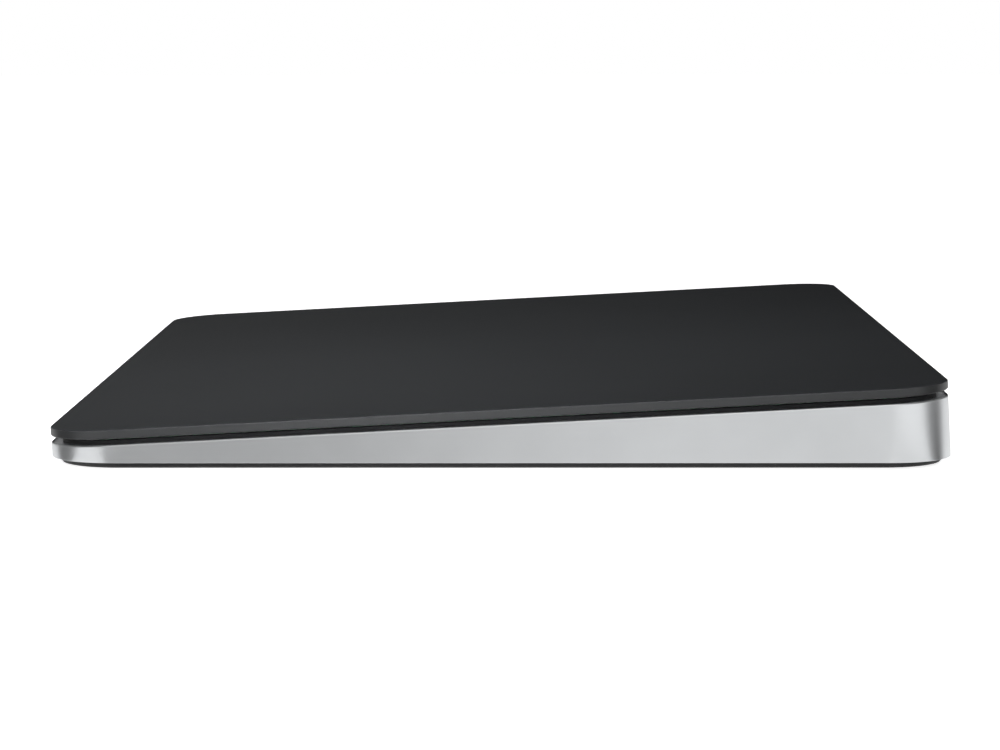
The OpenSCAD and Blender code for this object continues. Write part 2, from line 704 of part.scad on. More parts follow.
// Logic board, hung from the deck with its cans facing down
module logic_board() color("#1f4a33") on_pad() layer(logic_top, logic_low) difference() {
  field(logic_x0, logic_x1, logic_v0, logic_v1, logic_r);
  at_each(logic_holes) circle(d = screw_d + 2 * hole_gap);
  translate([logic_x0, (logic_v0 + logic_v1) / 2]) circle(notch_r);
}
module can_plan(x, inset)
  field(x + inset, x + can_w - inset, can_v + inset, can_v + can_d - inset, can_r - inset);
module shield_can(x) color("#c4c7ca") on_pad() difference() {
  layer(logic_low, logic_low + can_h) can_plan(x, 0);
  layer(logic_top, logic_low + can_h - can_t) can_plan(x, can_t);
}
module logic_chips() color("#202022") on_pad() layer(logic_low, logic_low + can_h - can_t - end_gap) {
  block(can_x[0] + can_w / 2, can_v + can_d / 2, processor_w, processor_w);
  block(can_x[1] - can_w / 2, can_v + can_d / 2, radio_w, radio_w);
}
module logic_socket() color("#2b2b2b") on_pad() layer(logic_top - socket_h, logic_top)
  block(ribbon_x, socket_v, socket_w, socket_d);
module screw(top, seat) {
  layer(top, seat + head_h) circle(d = screw_d - hole_gap);
  layer(seat, seat + head_h) circle(d = head_d);
}
module logic_screws() color("#9a9da0") on_pad() at_each(logic_holes) screw(deck_top, logic_low);

// A ribbon folded back on itself, from the sensor board's socket down to the logic board's
module touch_ribbon() color("#b5651d") on_pad() {
  top = board_low + socket_h;
  low = logic_top - socket_h;
  fold_r = (low - top) / 2;
  run = control_v1 - socket_edge - fold_r - socket_v;
  half = (socket_w - socket_edge) / 2;
  along_x(ribbon_x - half, ribbon_x + half) translate([socket_v, -(top + low) / 2]) difference() {
    fold(run, fold_r);
    fold(run, fold_r - ribbon_t);
  }
}
module fold(run, r) {
  translate([0, -r]) square([run, 2 * r]);
  translate([run, 0]) circle(r);
}

// One ribbon for the charge port and the power switch, and the coils' lead
module rear_ribbon() color("#b5651d") on_pad() {
  layer(deck_low, deck_low + ribbon_t) {
    strip(port_board_w / 2, rear_x + ribbon_w, ribbon_v, ribbon_v + ribbon_w);
    strip(rear_x, rear_x + ribbon_w, land_v, ribbon_v + ribbon_w);
  }
  layer(deck_low, logic_top) block(rear_x + ribbon_w / 2, land_v + ribbon_w / 2, ribbon_w, ribbon_w);
}
module haptic_lead() color("#b5651d") on_pad() {
  coil_x = tooth_x(tooth_n) + coil_w / 2;
  run_v = tooth_v + ribbon_w / 2;
  layer(deck_low, deck_low + ribbon_t) strip(coil_x, logic_x0 + logic_gap, run_v, run_v + ribbon_w);
  layer(deck_low, logic_top) strip(logic_x0, logic_x0 + logic_gap, run_v, run_v + ribbon_w);
}

// Antenna: a moulded carrier, a meander on its underside and a cable to the logic board
module antenna_carrier() color("#3d3d40") on_pad() layer(deck_low, deck_low + antenna_h)
  field(antenna_x0, antenna_x1, antenna_v0, antenna_v0 + antenna_l, antenna_r);
module antenna_element() color("#c9a35a") on_pad()
  layer(deck_low + antenna_h, deck_low + antenna_h + ribbon_t) difference() {
    slots = 8;
    x0 = antenna_x0 + element_edge;
    v0 = antenna_v0 + element_edge;
    l = antenna_l - 2 * element_edge;
    pitch = l / (slots + 0.5);
    strip(x0, antenna_x1 - element_edge, v0, v0 + l);
    for (i = [0 : slots - 1]) translate([i % 2 == 0 ? antenna_x0 : x0 + track_w, v0 + (i + 0.5) * pitch])
      square([antenna_w - element_edge - track_w, pitch / 2]);
  }
module antenna_cable() color("#2a2a2a") on_pad() along_v(logic_v1 - screw_inset, antenna_v0)
  translate([(antenna_x0 + antenna_x1) / 2, -logic_low - hole_gap - cable_d / 2]) circle(d = cable_d);

// Charge port in the middle of the rear wall
module at_port() translate([0, -port_low]) children();
module charge_port_shell() color("#b4b7ba") on_pad() along_v(shell_v, mouth_v) at_port() difference() {
  stadium(shell_w, shell_h);
  stadium(port_w, port_h);
}
module charge_port_core() color("#1d1d1f") on_pad() {
  along_v(shell_v, shell_v + block_l) at_port() stadium(port_w, port_h);
  along_v(shell_v, tongue_v1) at_port() rounded(port_w - 2 * tongue_gap, tongue_t, tongue_r);
}
module charge_port_contacts() color("#c9a35a") on_pad() {
  contact_v1 = tongue_v1 - contact_w;
  along_v(contact_v1 - contact_l, contact_v1) at_port() for (i = [1 : contact_n], s = [-1, 1])
    block((i - (contact_n + 1) / 2) * contact_pitch, s * (tongue_t + contact_t) / 2, contact_w, contact_t);
}
module charge_port_board() color("#1f4a33") on_pad() layer(deck_low, deck_low + small_board_t)
  strip(-port_board_w / 2, port_board_w / 2, port_board_v, rear_v - wall_gap);
module charge_port_bracket() color("#b9bcc0") on_pad() difference() {
  along_v(boss_v - bracket_l / 2, boss_v + bracket_l / 2) difference() {
    union() {
      at_port() stadium(saddle_w, saddle_h);
      block(0, -boss_low - bracket_t / 2, 2 * boss_x + boss_d, bracket_t);
    }
    at_port() stadium(saddle_w - 2 * bracket_t, saddle_h - 2 * bracket_t);
    block(0, saddle_h - boss_low, 2 * saddle_w, 2 * saddle_h);
  }
  layer(deck_low, 2 * boss_low) port_screws() circle(d = screw_d + 2 * hole_gap);
}
module charge_port_screws() color("#9a9da0") on_pad() port_screws() screw(deck_low, boss_low + bracket_t);

// Power switch: a grooved slider in a slot of the rear wall, and the switch that its pin moves
module switch_slider() color("#d5d7d9") on_pad() translate([slider_x, 0, -port_low]) difference() {
  face_v = pad_d - knob_recess;
  union() {
    along_v(slide_v, face_v) stadium(knob_l, knob_h);
    along_v(slide_v, slide_v + slide_t) stadium(knob_l + 2 * slide_lap, knob_h + 2 * slide_lip);
    along_v(slide_v - pin_l, face_v - wall_t) square(pin_w, center = true);
  }
  along_v(face_v - groove_d, pad_d) for (i = [1 : groove_n])
    block((2 * i - groove_n - 1) * groove_w, 0, groove_w, 2 * knob_h);
}
module switch_body() color("#2b2b2d") on_pad() difference() {
  along_v(body_v1 - body_d, body_v1) block(switch_x, -port_low, body_w, 2 * (port_low - body_top));
  along_v(slide_v - pin_l - pin_gap, pad_d)
    block(switch_x, -port_low, pin_w + switch_travel + 2 * pin_gap, pin_w + 2 * pin_gap);
}
module switch_board() color("#1f4a33") on_pad() layer(deck_low, body_top) strip(
  switch_x - body_w / 2 - switch_board_lap, switch_x + body_w / 2 + switch_board_lap,
  ribbon_v + ribbon_w, body_v1
);

// Haptic engine: a comb core under the deck whose teeth, each in a coil, pull on the armature
function tooth_x(i) = (i - (tooth_n + 1) / 2) * tooth_pitch;
module haptic_core() color("#77797c") on_pad() layer(logic_top, core_low) difference() {
  union() {
    strip(-core_l / 2, core_l / 2, core_v, tooth_v);
    core_screws() circle(r = ear_r);
    for (i = [1 : tooth_n])
      strip(tooth_x(i) - tooth_w / 2, tooth_x(i) + tooth_w / 2, core_v, tooth_v + tooth_l);
  }
  core_screws() circle(d = screw_d + 2 * hole_gap);
}
module haptic_coil(i) color("#b87333") on_pad() along_v(tooth_v + coil_gap, tooth_v + tooth_l - tooth_bare)
  translate([tooth_x(i), -core_mid]) difference() {
    rounded(coil_w, coil_h, coil_t);
    square([tooth_w + 2 * hole_gap, core_t + 2 * hole_gap], center = true);
  }
module haptic_screws() color("#9a9da0") on_pad() core_screws() screw(deck_top, core_low);

touch_glass();
glass_bond_sheet();
sensor_board();
touch_chips();
sensor_socket();
armature_bar();
gel_pad(-1, -1);  // gel_pad_front_left
gel_pad(1, -1);  // gel_pad_front_right
gel_pad(-1, 1);  // gel_pad_rear_left
gel_pad(1, 1);  // gel_pad_rear_right
flexure(-1, -1);  // flexure_front_left
flexure(1, -1);  // flexure_front_right
flexure(-1, 1);  // flexure_rear_left
flexure(1, 1);  // flexure_rear_right
strain_gauges();
flexure_rivets();
gauge_ribbon();
housing();
rim_gasket();
base_cover();
base_seal();
foot(-1, -1);  // foot_front_left
foot(1, -1);  // foot_front_right
foot(-1, 1);  // foot_rear_left
foot(1, 1);  // foot_rear_right
battery_cell();
battery_tapes();
battery_board();
battery_lead();
logic_board();
logic_chips();
logic_socket();
logic_screws();
shield_can(can_x[0]);  // shield_can_left
shield_can(can_x[1] - can_w);  // shield_can_right
touch_ribbon();
rear_ribbon();
haptic_lead();
antenna_carrier();
antenna_element();
antenna_cable();
charge_port_shell();
charge_port_core();
charge_port_contacts();
charge_port_board();
charge_port_bracket();
charge_port_screws();
switch_slider();
switch_body();
switch_board();
haptic_core();
haptic_coil(1);  // haptic_coil_1
haptic_coil(2);  // haptic_coil_2
haptic_coil(3);  // haptic_coil_3
haptic_coil(4);  // haptic_coil_4
haptic_screws();
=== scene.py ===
import json
import math

import bmesh
import bpy
import numpy as np
from mathutils import Matrix, Vector


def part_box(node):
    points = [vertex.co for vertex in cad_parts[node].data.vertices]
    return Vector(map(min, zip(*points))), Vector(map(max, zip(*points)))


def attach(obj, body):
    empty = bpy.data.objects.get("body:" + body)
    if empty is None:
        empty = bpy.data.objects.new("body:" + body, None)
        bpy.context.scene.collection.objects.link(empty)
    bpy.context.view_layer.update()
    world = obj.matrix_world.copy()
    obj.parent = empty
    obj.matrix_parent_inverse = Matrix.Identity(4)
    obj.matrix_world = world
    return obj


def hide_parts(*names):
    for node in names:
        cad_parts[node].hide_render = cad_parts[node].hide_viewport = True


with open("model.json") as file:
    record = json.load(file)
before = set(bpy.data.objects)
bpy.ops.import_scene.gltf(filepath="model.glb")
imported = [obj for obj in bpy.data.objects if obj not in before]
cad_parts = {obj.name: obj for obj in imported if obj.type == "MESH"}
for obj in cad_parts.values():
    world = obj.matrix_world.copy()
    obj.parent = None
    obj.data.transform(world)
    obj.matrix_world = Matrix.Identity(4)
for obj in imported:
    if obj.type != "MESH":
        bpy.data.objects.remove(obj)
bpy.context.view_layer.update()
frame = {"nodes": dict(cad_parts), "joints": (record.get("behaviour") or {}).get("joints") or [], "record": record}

scene = bpy.context.scene
scene.view_settings.view_transform = "Standard"

# Lengths are in mm until a mesh is finished. The pad frame slopes with the glass: x across, v from the front
# edge up the slope, w square to the glass and zero on it. The slope and the glass's box place it.
mm = 0.001
mmPerMetre = 1000
pad = {
    "cornerRadius": 8.4,
    "glassThick": 1.15,
    "glassChamfer": 0.06,   # the solid's two chamfers, which its box depends on
    "glassLowChamfer": 0.2,
    "rimDepth": 1.92,       # the housing's rim below the top of the glass
    "deckTop": 3.1,         # the deck's two faces below the top of the glass
    "deckLow": 3.7,
    "wall": 3.0,
}
pressAxis = next(joint for joint in frame["joints"] if joint["name"] == "press")["axis"]
slopeSin, slopeCos = pressAxis[1], -pressAxis[2]
glassLow, glassHigh = (mmPerMetre * np.array(corner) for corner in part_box("touch_glass"))
padWidth = glassHigh[0] - glassLow[0]
edgeBand = pad["glassThick"] - pad["glassChamfer"] - pad["glassLowChamfer"]
padDepth = (glassHigh[1] - glassLow[1] - edgeBand * slopeSin) / slopeCos
frontY = glassLow[1] - pad["glassChamfer"] * slopeSin
frontZ = glassHigh[2] - (padDepth - pad["glassChamfer"]) * slopeSin
innerX = padWidth / 2 - pad["wall"]
innerV = padDepth - pad["wall"]
print("pad frame: %.2f x %.2f mm, front edge at y %.2f z %.2f" % (padWidth, padDepth, frontY, frontZ))


# pad coordinates to the row frame: turned by the slope and moved to the front edge
def toRow(points):
    x, v, w = np.moveaxis(points, -1, 0)
    return np.stack([x, frontY + v * slopeCos - w * slopeSin, frontZ + v * slopeSin + w * slopeCos], axis=-1)


# the depth w at which a place v up the slope meets the level z
def depthAtLevel(v, z):
    return (z - frontZ - v * slopeSin) / slopeCos


# four quarter circles about the corner centres, joined by straight runs: points and outward normals
def roundedOutline(width, depth, radius, arcSteps=32, runSteps=24):
    turn = np.linspace(0, math.pi / 2, arcSteps + 1)
    share = np.linspace(0, 1, runSteps + 1)[1:-1, None]
    arcs, faces = [], []
    for quarter, (sideX, sideY) in enumerate([(1, 1), (-1, 1), (-1, -1), (1, -1)]):
        angle = turn + quarter * math.pi / 2
        outward = np.stack([np.cos(angle), np.sin(angle)], axis=1)
        centre = np.array([sideX * (width / 2 - radius), sideY * (depth / 2 - radius)])
        arcs.append(centre + radius * outward)
        faces.append(outward)
    points, normals = [], []
    for quarter in range(4):
        start, stop = arcs[quarter][-1], arcs[(quarter + 1) % 4][0]
        points += [arcs[quarter], start + share * (stop - start)]
        normals += [faces[quarter], np.repeat(faces[quarter][-1:], len(share), axis=0)]
    return np.concatenate(points), np.concatenate(normals)


# corners (a, b, radius) become arcs that touch both legs, with a narrow strip beside each arc that keeps the
# flats flat
def softProfile(corners, closed=False, steps=5, strip=0.02):
    points = []
    for i, (a, b, radius) in enumerate(corners):
        here = np.array([a, b], float)
        if radius == 0 or (not closed and i in (0, len(corners) - 1)):
            points.append(here)
            continue
        comeIn = here - np.array(corners[i - 1][:2])
        goOut = np.array(corners[(i + 1) % len(corners)][:2]) - here
        comeIn, goOut = comeIn / np.linalg.norm(comeIn), goOut / np.linalg.norm(goOut)
        turn = math.acos(np.clip(comeIn @ goOut, -1, 1))
        reach = radius * math.tan(turn / 2)
        first, last = here - comeIn * reach, here + goOut * reach
        bisector = goOut - comeIn
        middle = here + bisector / np.linalg.norm(bisector) * radius / math.cos(turn / 2)
        share = np.linspace(0, 1, steps + 1)[:, None]
        swing = np.sin((1 - share) * turn) * (first - middle) + np.sin(share * turn) * (last - middle)
        points += [first - comeIn * strip, *(middle + swing / math.sin(turn)), last + goOut * strip]
    return np.array(points)


# a profile of (inset, height) carried round an outline: each ring is the outline moved in along its normals
def sweepRound(outline, normals, profile):
    plan = outline[None] - profile[:, 0, None, None] * normals[None]
    height = np.broadcast_to(profile[:, 1, None, None], plan.shape[:2] + (1,))
    return np.concatenate([plan, height], axis=2)


# rings shrunk to their middle in equal steps, before the first ring and after the last, so that flat ends
# fill evenly
def filledRings(rings, steps=4):
    share = np.linspace(0, 1, steps + 1)[1:-1, None, None]
    firstMiddle, lastMiddle = rings[0].mean(axis=0), rings[-1].mean(axis=0)
    before = firstMiddle + share * (rings[0] - firstMiddle)
    after = lastMiddle + share[::-1] * (rings[-1] - lastMiddle)
    return np.concatenate([before, rings, after])


# a closed shell: quads between neighbouring rings, then either the last ring meets the first or each end
# closes to a point
def shellOf(rings, loop=False):
    rows, columns = rings.shape[:2]
    points = rings.reshape(-1, 3)
    row = np.arange(rows if loop else rows - 1)[:, None] * columns
    nextRow = (row + columns) % (rows * columns)
    column = np.arange(columns)
    nextColumn = (column + 1) % columns
    quads = np.stack([row + column, row + nextColumn, nextRow + nextColumn, nextRow + column], axis=-1)
    faces = quads.reshape(-1, 4).tolist()
    if not loop:
        points = np.concatenate([points, rings[[0, -1]].mean(axis=1)])
        last = (rows - 1) * columns
        firstPole = np.full(columns, len(points) - 2)
        faces += np.stack([firstPole, nextColumn, column], axis=1).tolist()
        faces += np.stack([firstPole + 1, last + column, last + nextColumn], axis=1).tolist()
    return points, faces


mergeGap = 1e-5     # points nearer than this are one
thinEdge = 1e-6     # edges shorter than this are dropped


# one mesh object in mm from closed shells, with doubles merged and normals outward
def meshObject(name, shells):
    points = np.concatenate([shell[0] for shell in shells])
    starts = np.cumsum([0] + [len(shell[0]) for shell in shells])
    faces = [
        [corner + start for corner in face]
        for shell, start in zip(shells, starts)
        for face in shell[1]
    ]
    mesh = bpy.data.meshes.new(name)
    mesh.from_pydata(points.tolist(), [], faces)
    work = bmesh.new()
    work.from_mesh(mesh)
    bmesh.ops.remove_doubles(work, verts=work.verts, dist=mergeGap)
    bmesh.ops.dissolve_degenerate(work, edges=work.edges, dist=thinEdge)
    bmesh.ops.recalc_face_normals(work, faces=work.faces)
    work.to_mesh(mesh)
    work.free()
    piece = bpy.data.objects.new(name, mesh)
    scene.collection.objects.link(piece)
    return piece


# a boolean of a piece with a cutter, applied at once
def combine(piece, cutter, operation):
    modifier = piece.modifiers.new("combine", "BOOLEAN")
    modifier.object = cutter
    modifier.operation = operation
    modifier.solver = "MANIFOLD"
    shaped = piece.evaluated_get(bpy.context.evaluated_depsgraph_get())
    result = bpy.data.meshes.new_from_object(shaped)
    piece.modifiers.clear()
    piece.data = result
    bpy.data.objects.remove(cutter)


# mm to metres, smooth faces with sharp edges by angle, a finish, and the frame's facts about the piece
def finishPiece(piece, body, cadNode, slot, sharpAngle=32):
    mesh = piece.data
    mesh.transform(Matrix.Scale(mm, 4))
    mesh.name = piece.name
    mesh.materials.clear()
    mesh.materials.append(finishes[slot])
    mesh.polygons.foreach_set("use_smooth", np.ones(len(mesh.polygons), bool))
    mesh.polygons.foreach_set("material_index", np.zeros(len(mesh.polygons), np.int32))
    mesh.set_sharp_from_angle(angle=math.radians(sharpAngle))
    mesh.update()
    # lookUp is 1 on faces that look along the pad's normal, 0 on its sides and -1 underneath
    normals = np.empty(3 * len(mesh.polygons), np.float32)
    mesh.polygons.foreach_get("normal", normals)
    padNormal = np.array((0, -slopeSin, slopeCos), np.float32)
    lookUp = mesh.attributes.new("lookUp", "FLOAT", "FACE")
    lookUp.data.foreach_set("value", normals.reshape(-1, 3) @ padNormal)
    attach(piece, body)
    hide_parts(cadNode)
    print("piece: %s, %d faces" % (piece.name, len(mesh.polygons)))


# a new node material and its main shader, with plain numbers set on the shader's own sockets
def newFinish(name, **sockets):
    material = bpy.data.materials.new(name)
    material.use_nodes = True
    shader = material.node_tree.nodes["Principled BSDF"]
    for socket, value in sockets.items():
        shader.inputs[socket.replace("_", " ")].default_value = value
    return material, shader


# a shader node of a kind with its settings, and a link from a node's output to another's input
def addNode(material, kind, **settings):
    node = material.node_tree.nodes.new("ShaderNode" + kind)
    for name, value in settings.items():
        setattr(node, name, value)
    return node


def join(material, source, target):
    material.node_tree.links.new(source, target)


# noise on object coordinates, stretched by three factors, at a grain size in mm
def grainNode(material, size, detail=3.0, stretch=(1, 1, 1)):
    coordinates = addNode(material, "TexCoord")
    mapping = addNode(material, "Mapping")
    mapping.inputs["Scale"].default_value = stretch
    noise = addNode(material, "TexNoise")
    noise.inputs["Scale"].default_value = mmPerMetre / size
    noise.inputs["Detail"].default_value = detail
    join(material, coordinates.outputs["Object"], mapping.inputs["Vector"])
    join(material, mapping.outputs["Vector"], noise.inputs["Vector"])
    return noise.outputs["Fac"]


grainSpan = (0.3, 0.7)        # the part of the noise's range that fine grain uses
patchSpan = (0.35, 0.65)      # and that patches of colour use


# a factor from 0 to 1 becomes a number between low and high, or a colour between two
def numberBetween(material, factor, low, high):
    node = addNode(material, "MapRange")
    node.inputs["From Min"].default_value = grainSpan[0]
    node.inputs["From Max"].default_value = grainSpan[1]
    node.inputs["To Min"].default_value = low
    node.inputs["To Max"].default_value = high
    join(material, factor, node.inputs["Value"])
    return node.outputs["Result"]


def colourBetween(material, factor, low, high):
    node = addNode(material, "ValToRGB")
    for element, position, colour in zip(node.color_ramp.elements, patchSpan, (low, high)):
        element.position = position
        element.color = (*colour, 1)
    join(material, factor, node.inputs["Fac"])
    return node.outputs["Color"]


# bump of a height in mm from a factor
def addBump(material, shader, factor, height):
    bump = addNode(material, "Bump")
    bump.inputs["Strength"].default_value = 1.0
    bump.inputs["Distance"].default_value = mm * height
    join(material, factor, bump.inputs["Height"])
    join(material, bump.outputs["Normal"], shader.inputs["Normal"])


waveTurn = 20       # the wave node turns by this many radians per metre at a scale of one


# stripes of a pitch in mm along one axis: one on a stripe, zero between
def stripeFactor(material, pitch, direction):
    coordinates = addNode(material, "TexCoord")
    wave = addNode(material, "TexWave", bands_direction=direction)
    wave.inputs["Scale"].default_value = mmPerMetre * 2 * math.pi / (waveTurn * pitch)
    join(material, coordinates.outputs["Object"], wave.inputs["Vector"])
    return numberBetween(material, wave.outputs["Fac"], 0.0, 1.0)


# the piece's lookUp value, from -1 to 1, becomes a factor from 0 at one value to 1 at the other
def facingFactor(material, zeroAt, oneAt):
    facing = addNode(material, "Attribute", attribute_name="lookUp")
    factor = addNode(material, "MapRange")
    factor.inputs["From Min"].default_value = zeroAt
    factor.inputs["From Max"].default_value = oneAt
    join(material, facing.outputs["Fac"], factor.inputs["Value"])
    return factor.outputs["Result"]


# two colours, each a plain one or another node's, mixed by a factor
def mixColour(material, factor, first, second):
    mix = addNode(material, "Mix", data_type="RGBA")
    join(material, factor, mix.inputs["Factor"])
    for socket, colour in (("A", first), ("B", second)):
        if isinstance(colour, tuple):
            mix.inputs[socket].default_value = (*colour, 1)
        else:
            join(material, colour, mix.inputs[socket])
    return mix.outputs["Result"]


# lookUp values at which one zone of a piece gives way to the next
zones = {"chamfer": (0.1, 0.3), "top": (0.55, 0.65), "back": (-0.85, -0.95), "milled": (0.85, 0.95)}


# a finish whose colour, roughness and relief all vary: the colour over patches, the rest over fine grain.
# Some add stripes of a second colour for wound or printed pieces, or milled faces that are smoother than the
# outside; the glass has painted shade on its sides, a painted highlight line below its upper chamfer, and a
# printed back
def grainedFinish(name, look):
    material, shader = newFinish(
        name, Metallic=look.get("metallic", 0.0), Specular_IOR_Level=look.get("gloss", 0.5))
    tone = np.array(look["colour"])
    spread = look.get("spread", 0.06)
    patches = grainNode(material, look.get("patch", 8.0), stretch=look.get("stretch", (1, 1, 1)))
    relief = grain = grainNode(material, look["grain"], stretch=look.get("stretch", (1, 1, 1)))
    colour = colourBetween(material, patches, tone * (1 - spread), tone * (1 + spread))
    rough = numberBetween(material, grain, *look["rough"])
    if "stripes" in look:
        pitch, direction, stripeColour = look["stripes"]
        stripes = stripeFactor(material, pitch, direction)
        colour = mixColour(material, stripes, colour, stripeColour)
        total = addNode(material, "Math", operation="ADD")
        join(material, grain, total.inputs[0])
        join(material, stripes, total.inputs[1])
        relief = total.outputs[0]
    # painted shade and highlight on the glass: its sides darker than its top, and a lighter line where the upper
    # chamfer turns down into the side
    if "paintedEdgeShade" in look:
        chamfer = facingFactor(material, *zones["chamfer"])
        paintedSides = mixColour(material, chamfer, look["paintedEdgeShade"], look["paintedChamferHighlight"])
        colour = mixColour(material, facingFactor(material, *zones["top"]), paintedSides, colour)
        colour = mixColour(material, facingFactor(material, *zones["back"]), colour, look["backColour"])
    if "milledRough" in look:
        mix = addNode(material, "Mix", data_type="FLOAT")
        mix.inputs["B"].default_value = look["milledRough"]
        join(material, facingFactor(material, *zones["milled"]), mix.inputs["Factor"])
        join(material, rough, mix.inputs["A"])
        rough = mix.outputs["Result"]
    join(material, colour, shader.inputs["Base Color"])
    join(material, rough, shader.inputs["Roughness"])
    addBump(material, shader, relief, look["relief"])
    return material


# grain sizes, patches and relief are in mm
looks = {
    "black_glass": {"colour": (0.0252, 0.0265, 0.0287), "rough": (0.36, 0.42), "grain": 0.12,
                    "relief": 0.0008, "patch": 40.0, "spread": 0.03, "gloss": 0.40,
                    # painted shade: the glass's sides are coloured darker than its top
                    "paintedEdgeShade": (0.0200, 0.0208, 0.0217),
                    # painted highlight: a lighter line on the round below the upper chamfer
                    "paintedChamferHighlight": (0.09, 0.092, 0.095), "backColour": (0.60, 0.60, 0.61)},
    "satin_aluminium": {"colour": (0.757, 0.774, 0.786), "metallic": 1.0, "rough": (0.34, 0.42),
                        "grain": 0.10, "relief": 0.0016, "patch": 6.0, "spread": 0.015, "milledRough": 0.26},
    "black_rubber": {"colour": (0.008, 0.008, 0.0086), "rough": (0.55, 0.75), "grain": 0.15, "relief": 0.004,
                     "gloss": 0.30},
    "foot_rubber": {"colour": (0.040, 0.040, 0.042), "rough": (0.60, 0.80), "grain": 0.20, "relief": 0.006},
    "base_plastic": {"colour": (0.005, 0.005, 0.0052), "rough": (0.42, 0.60), "grain": 0.25,
                     "relief": 0.008},
    "grey_plastic": {"colour": (0.60, 0.605, 0.61), "rough": (0.30, 0.42), "grain": 0.15, "relief": 0.002},
    "black_plastic": {"colour": (0.015, 0.015, 0.016), "rough": (0.38, 0.52), "grain": 0.20,
                      "relief": 0.004},
    "spring_steel": {"colour": (0.50, 0.50, 0.51), "metallic": 1.0, "rough": (0.25, 0.40), "grain": 0.2,
                     "relief": 0.001, "stretch": (0.05, 1, 1)},
    "plated_steel": {"colour": (0.62, 0.62, 0.62), "metallic": 1.0, "rough": (0.18, 0.30), "grain": 0.15,
                     "relief": 0.0006, "stretch": (1, 0.1, 1)},
    "magnet_iron": {"colour": (0.25, 0.25, 0.26), "metallic": 1.0, "rough": (0.40, 0.55), "grain": 0.2,
                    "relief": 0.002, "stretch": (0.1, 1, 1)},
    "gold_plate": {"colour": (0.75, 0.52, 0.20), "metallic": 1.0, "rough": (0.20, 0.32), "grain": 0.1,
                   "relief": 0.0005},
    "clear_gel": {"colour": (0.60, 0.57, 0.48), "rough": (0.30, 0.50), "grain": 0.8, "relief": 0.01},
    "cell_pouch": {"colour": (0.45, 0.46, 0.47), "metallic": 1.0, "rough": (0.28, 0.45), "grain": 3.0,
                   "relief": 0.05, "patch": 15.0},
    "adhesive": {"colour": (0.10, 0.10, 0.10), "rough": (0.50, 0.70), "grain": 0.5, "relief": 0.005},
    "circuit_board": {"colour": (0.015, 0.07, 0.035), "rough": (0.25, 0.40), "grain": 1.2, "relief": 0.01,
                      "patch": 3.0, "spread": 0.2, "stripes": (0.8, "DIAGONAL", (0.03, 0.12, 0.06))},
    "copper_wire": {"colour": (0.60, 0.25, 0.10), "metallic": 1.0, "rough": (0.25, 0.40), "grain": 0.3,
                    "relief": 0.02, "stripes": (0.16, "Z", (0.24, 0.09, 0.035))},
    "amber_ribbon": {"colour": (0.42, 0.17, 0.03), "rough": (0.25, 0.35), "grain": 0.3, "relief": 0.004,
                     "stripes": (0.5, "X", (0.52, 0.28, 0.08))},
}
finishes = {name: grainedFinish(name, look) for name, look in looks.items()}
for row in frame["record"]["subparts"]:
    cadNode = frame["nodes"][row["node"]]
    cadNode.data.materials.clear()
    cadNode.data.materials.append(finishes[row["material_slot"]])
print("finishes: %d" % len(finishes))


# an outline of the pad's own shape, moved in from the edge, in (x, v)
def padOutline(inset, arcSteps=40):
    width, depth = padWidth - 2 * inset, padDepth - 2 * inset
    points, normals = roundedOutline(width, depth, pad["cornerRadius"] - inset, arcSteps)
    return points + np.array([0, padDepth / 2]), normals


# one object from sets of rings in pad coordinates, each set a closed shell
def padObject(name, ringSets, loop=False):
    shells = [shellOf(rings, loop) for rings in ringSets]
    return meshObject(name, [(toRow(points), faces) for points, faces in shells])


# glass: the pad's outline with a fine chamfer above and a wider one below, each slightly rounded
def makeGlass():
    glass = {"highEdge": 0.10, "soften": 0.04, "lowEdge": 0.14, "lowSoften": 0.06, "flatStart": 6.0}
    chamfer, lowChamfer, thick = glass["highEdge"], glass["lowEdge"], pad["glassThick"]
    profile = softProfile([
        (glass["flatStart"], 0, 0),
        (chamfer, 0, glass["soften"]),
        (0, -chamfer, glass["soften"]),
        (0, lowChamfer - thick, glass["lowSoften"]),
        (lowChamfer, -thick, glass["lowSoften"]),
        (glass["flatStart"], -thick, 0),
    ])
    piece = padObject("touchGlass", [filledRings(sweepRound(*padOutline(0), profile))])
    finishPiece(piece, "touch_plate", "touch_glass", "black_glass")


# gasket: a low rubber ring on the rim with a round top
def makeGasket():
    gasket = {"inset": 1.5, "width": 0.9, "top": 1.45, "round": 0.2}
    outer, inner = gasket["inset"], gasket["inset"] + gasket["width"]
    profile = softProfile([
        (outer, -pad["rimDepth"], 0),
        (outer, -gasket["top"], gasket["round"]),
        (inner, -gasket["top"], gasket["round"]),
        (inner, -pad["rimDepth"], 0),
    ], closed=True)
    finishPiece(padObject("rimGasket", [sweepRound(*padOutline(0), profile)], loop=True),
                "chassis", "rim_gasket", "black_rubber")


# straight-sided blocks of the pad between two depths below the glass, from (x, v) outlines
def padBlocks(name, plans, top, low):
    ends = [[np.column_stack([plan, np.full(len(plan), -depth)]) for depth in (top, low)] for plan in plans]
    return padObject(name, [np.stack(pair) for pair in ends])


# a rounded rectangle from x0 to x1 and from v0 to v1
def fieldPlan(x0, x1, v0, v1, radius, arcSteps=10):
    points, _ = roundedOutline(x1 - x0, v1 - v0, radius, arcSteps, runSteps=1)
    return points + np.array([(x0 + x1) / 2, (v0 + v1) / 2])


# a circle about a place: the place plus half the diameter times the cosine and sine of each angle
def discPlan(place, diameter, steps=40):
    angle = np.linspace(0, 2 * math.pi, steps, endpoint=False)
    return np.array(place) + diameter / 2 * np.stack([np.cos(angle), np.sin(angle)], axis=1)


# an (x, w) outline carried along v, each row of the profile an inset and a place v
def carriedRings(centre, outline, normals, profile):
    rings = sweepRound(outline, normals, profile)
    return np.stack([rings[..., 0] + centre[0], rings[..., 2], rings[..., 1] - centre[1]], axis=-1)


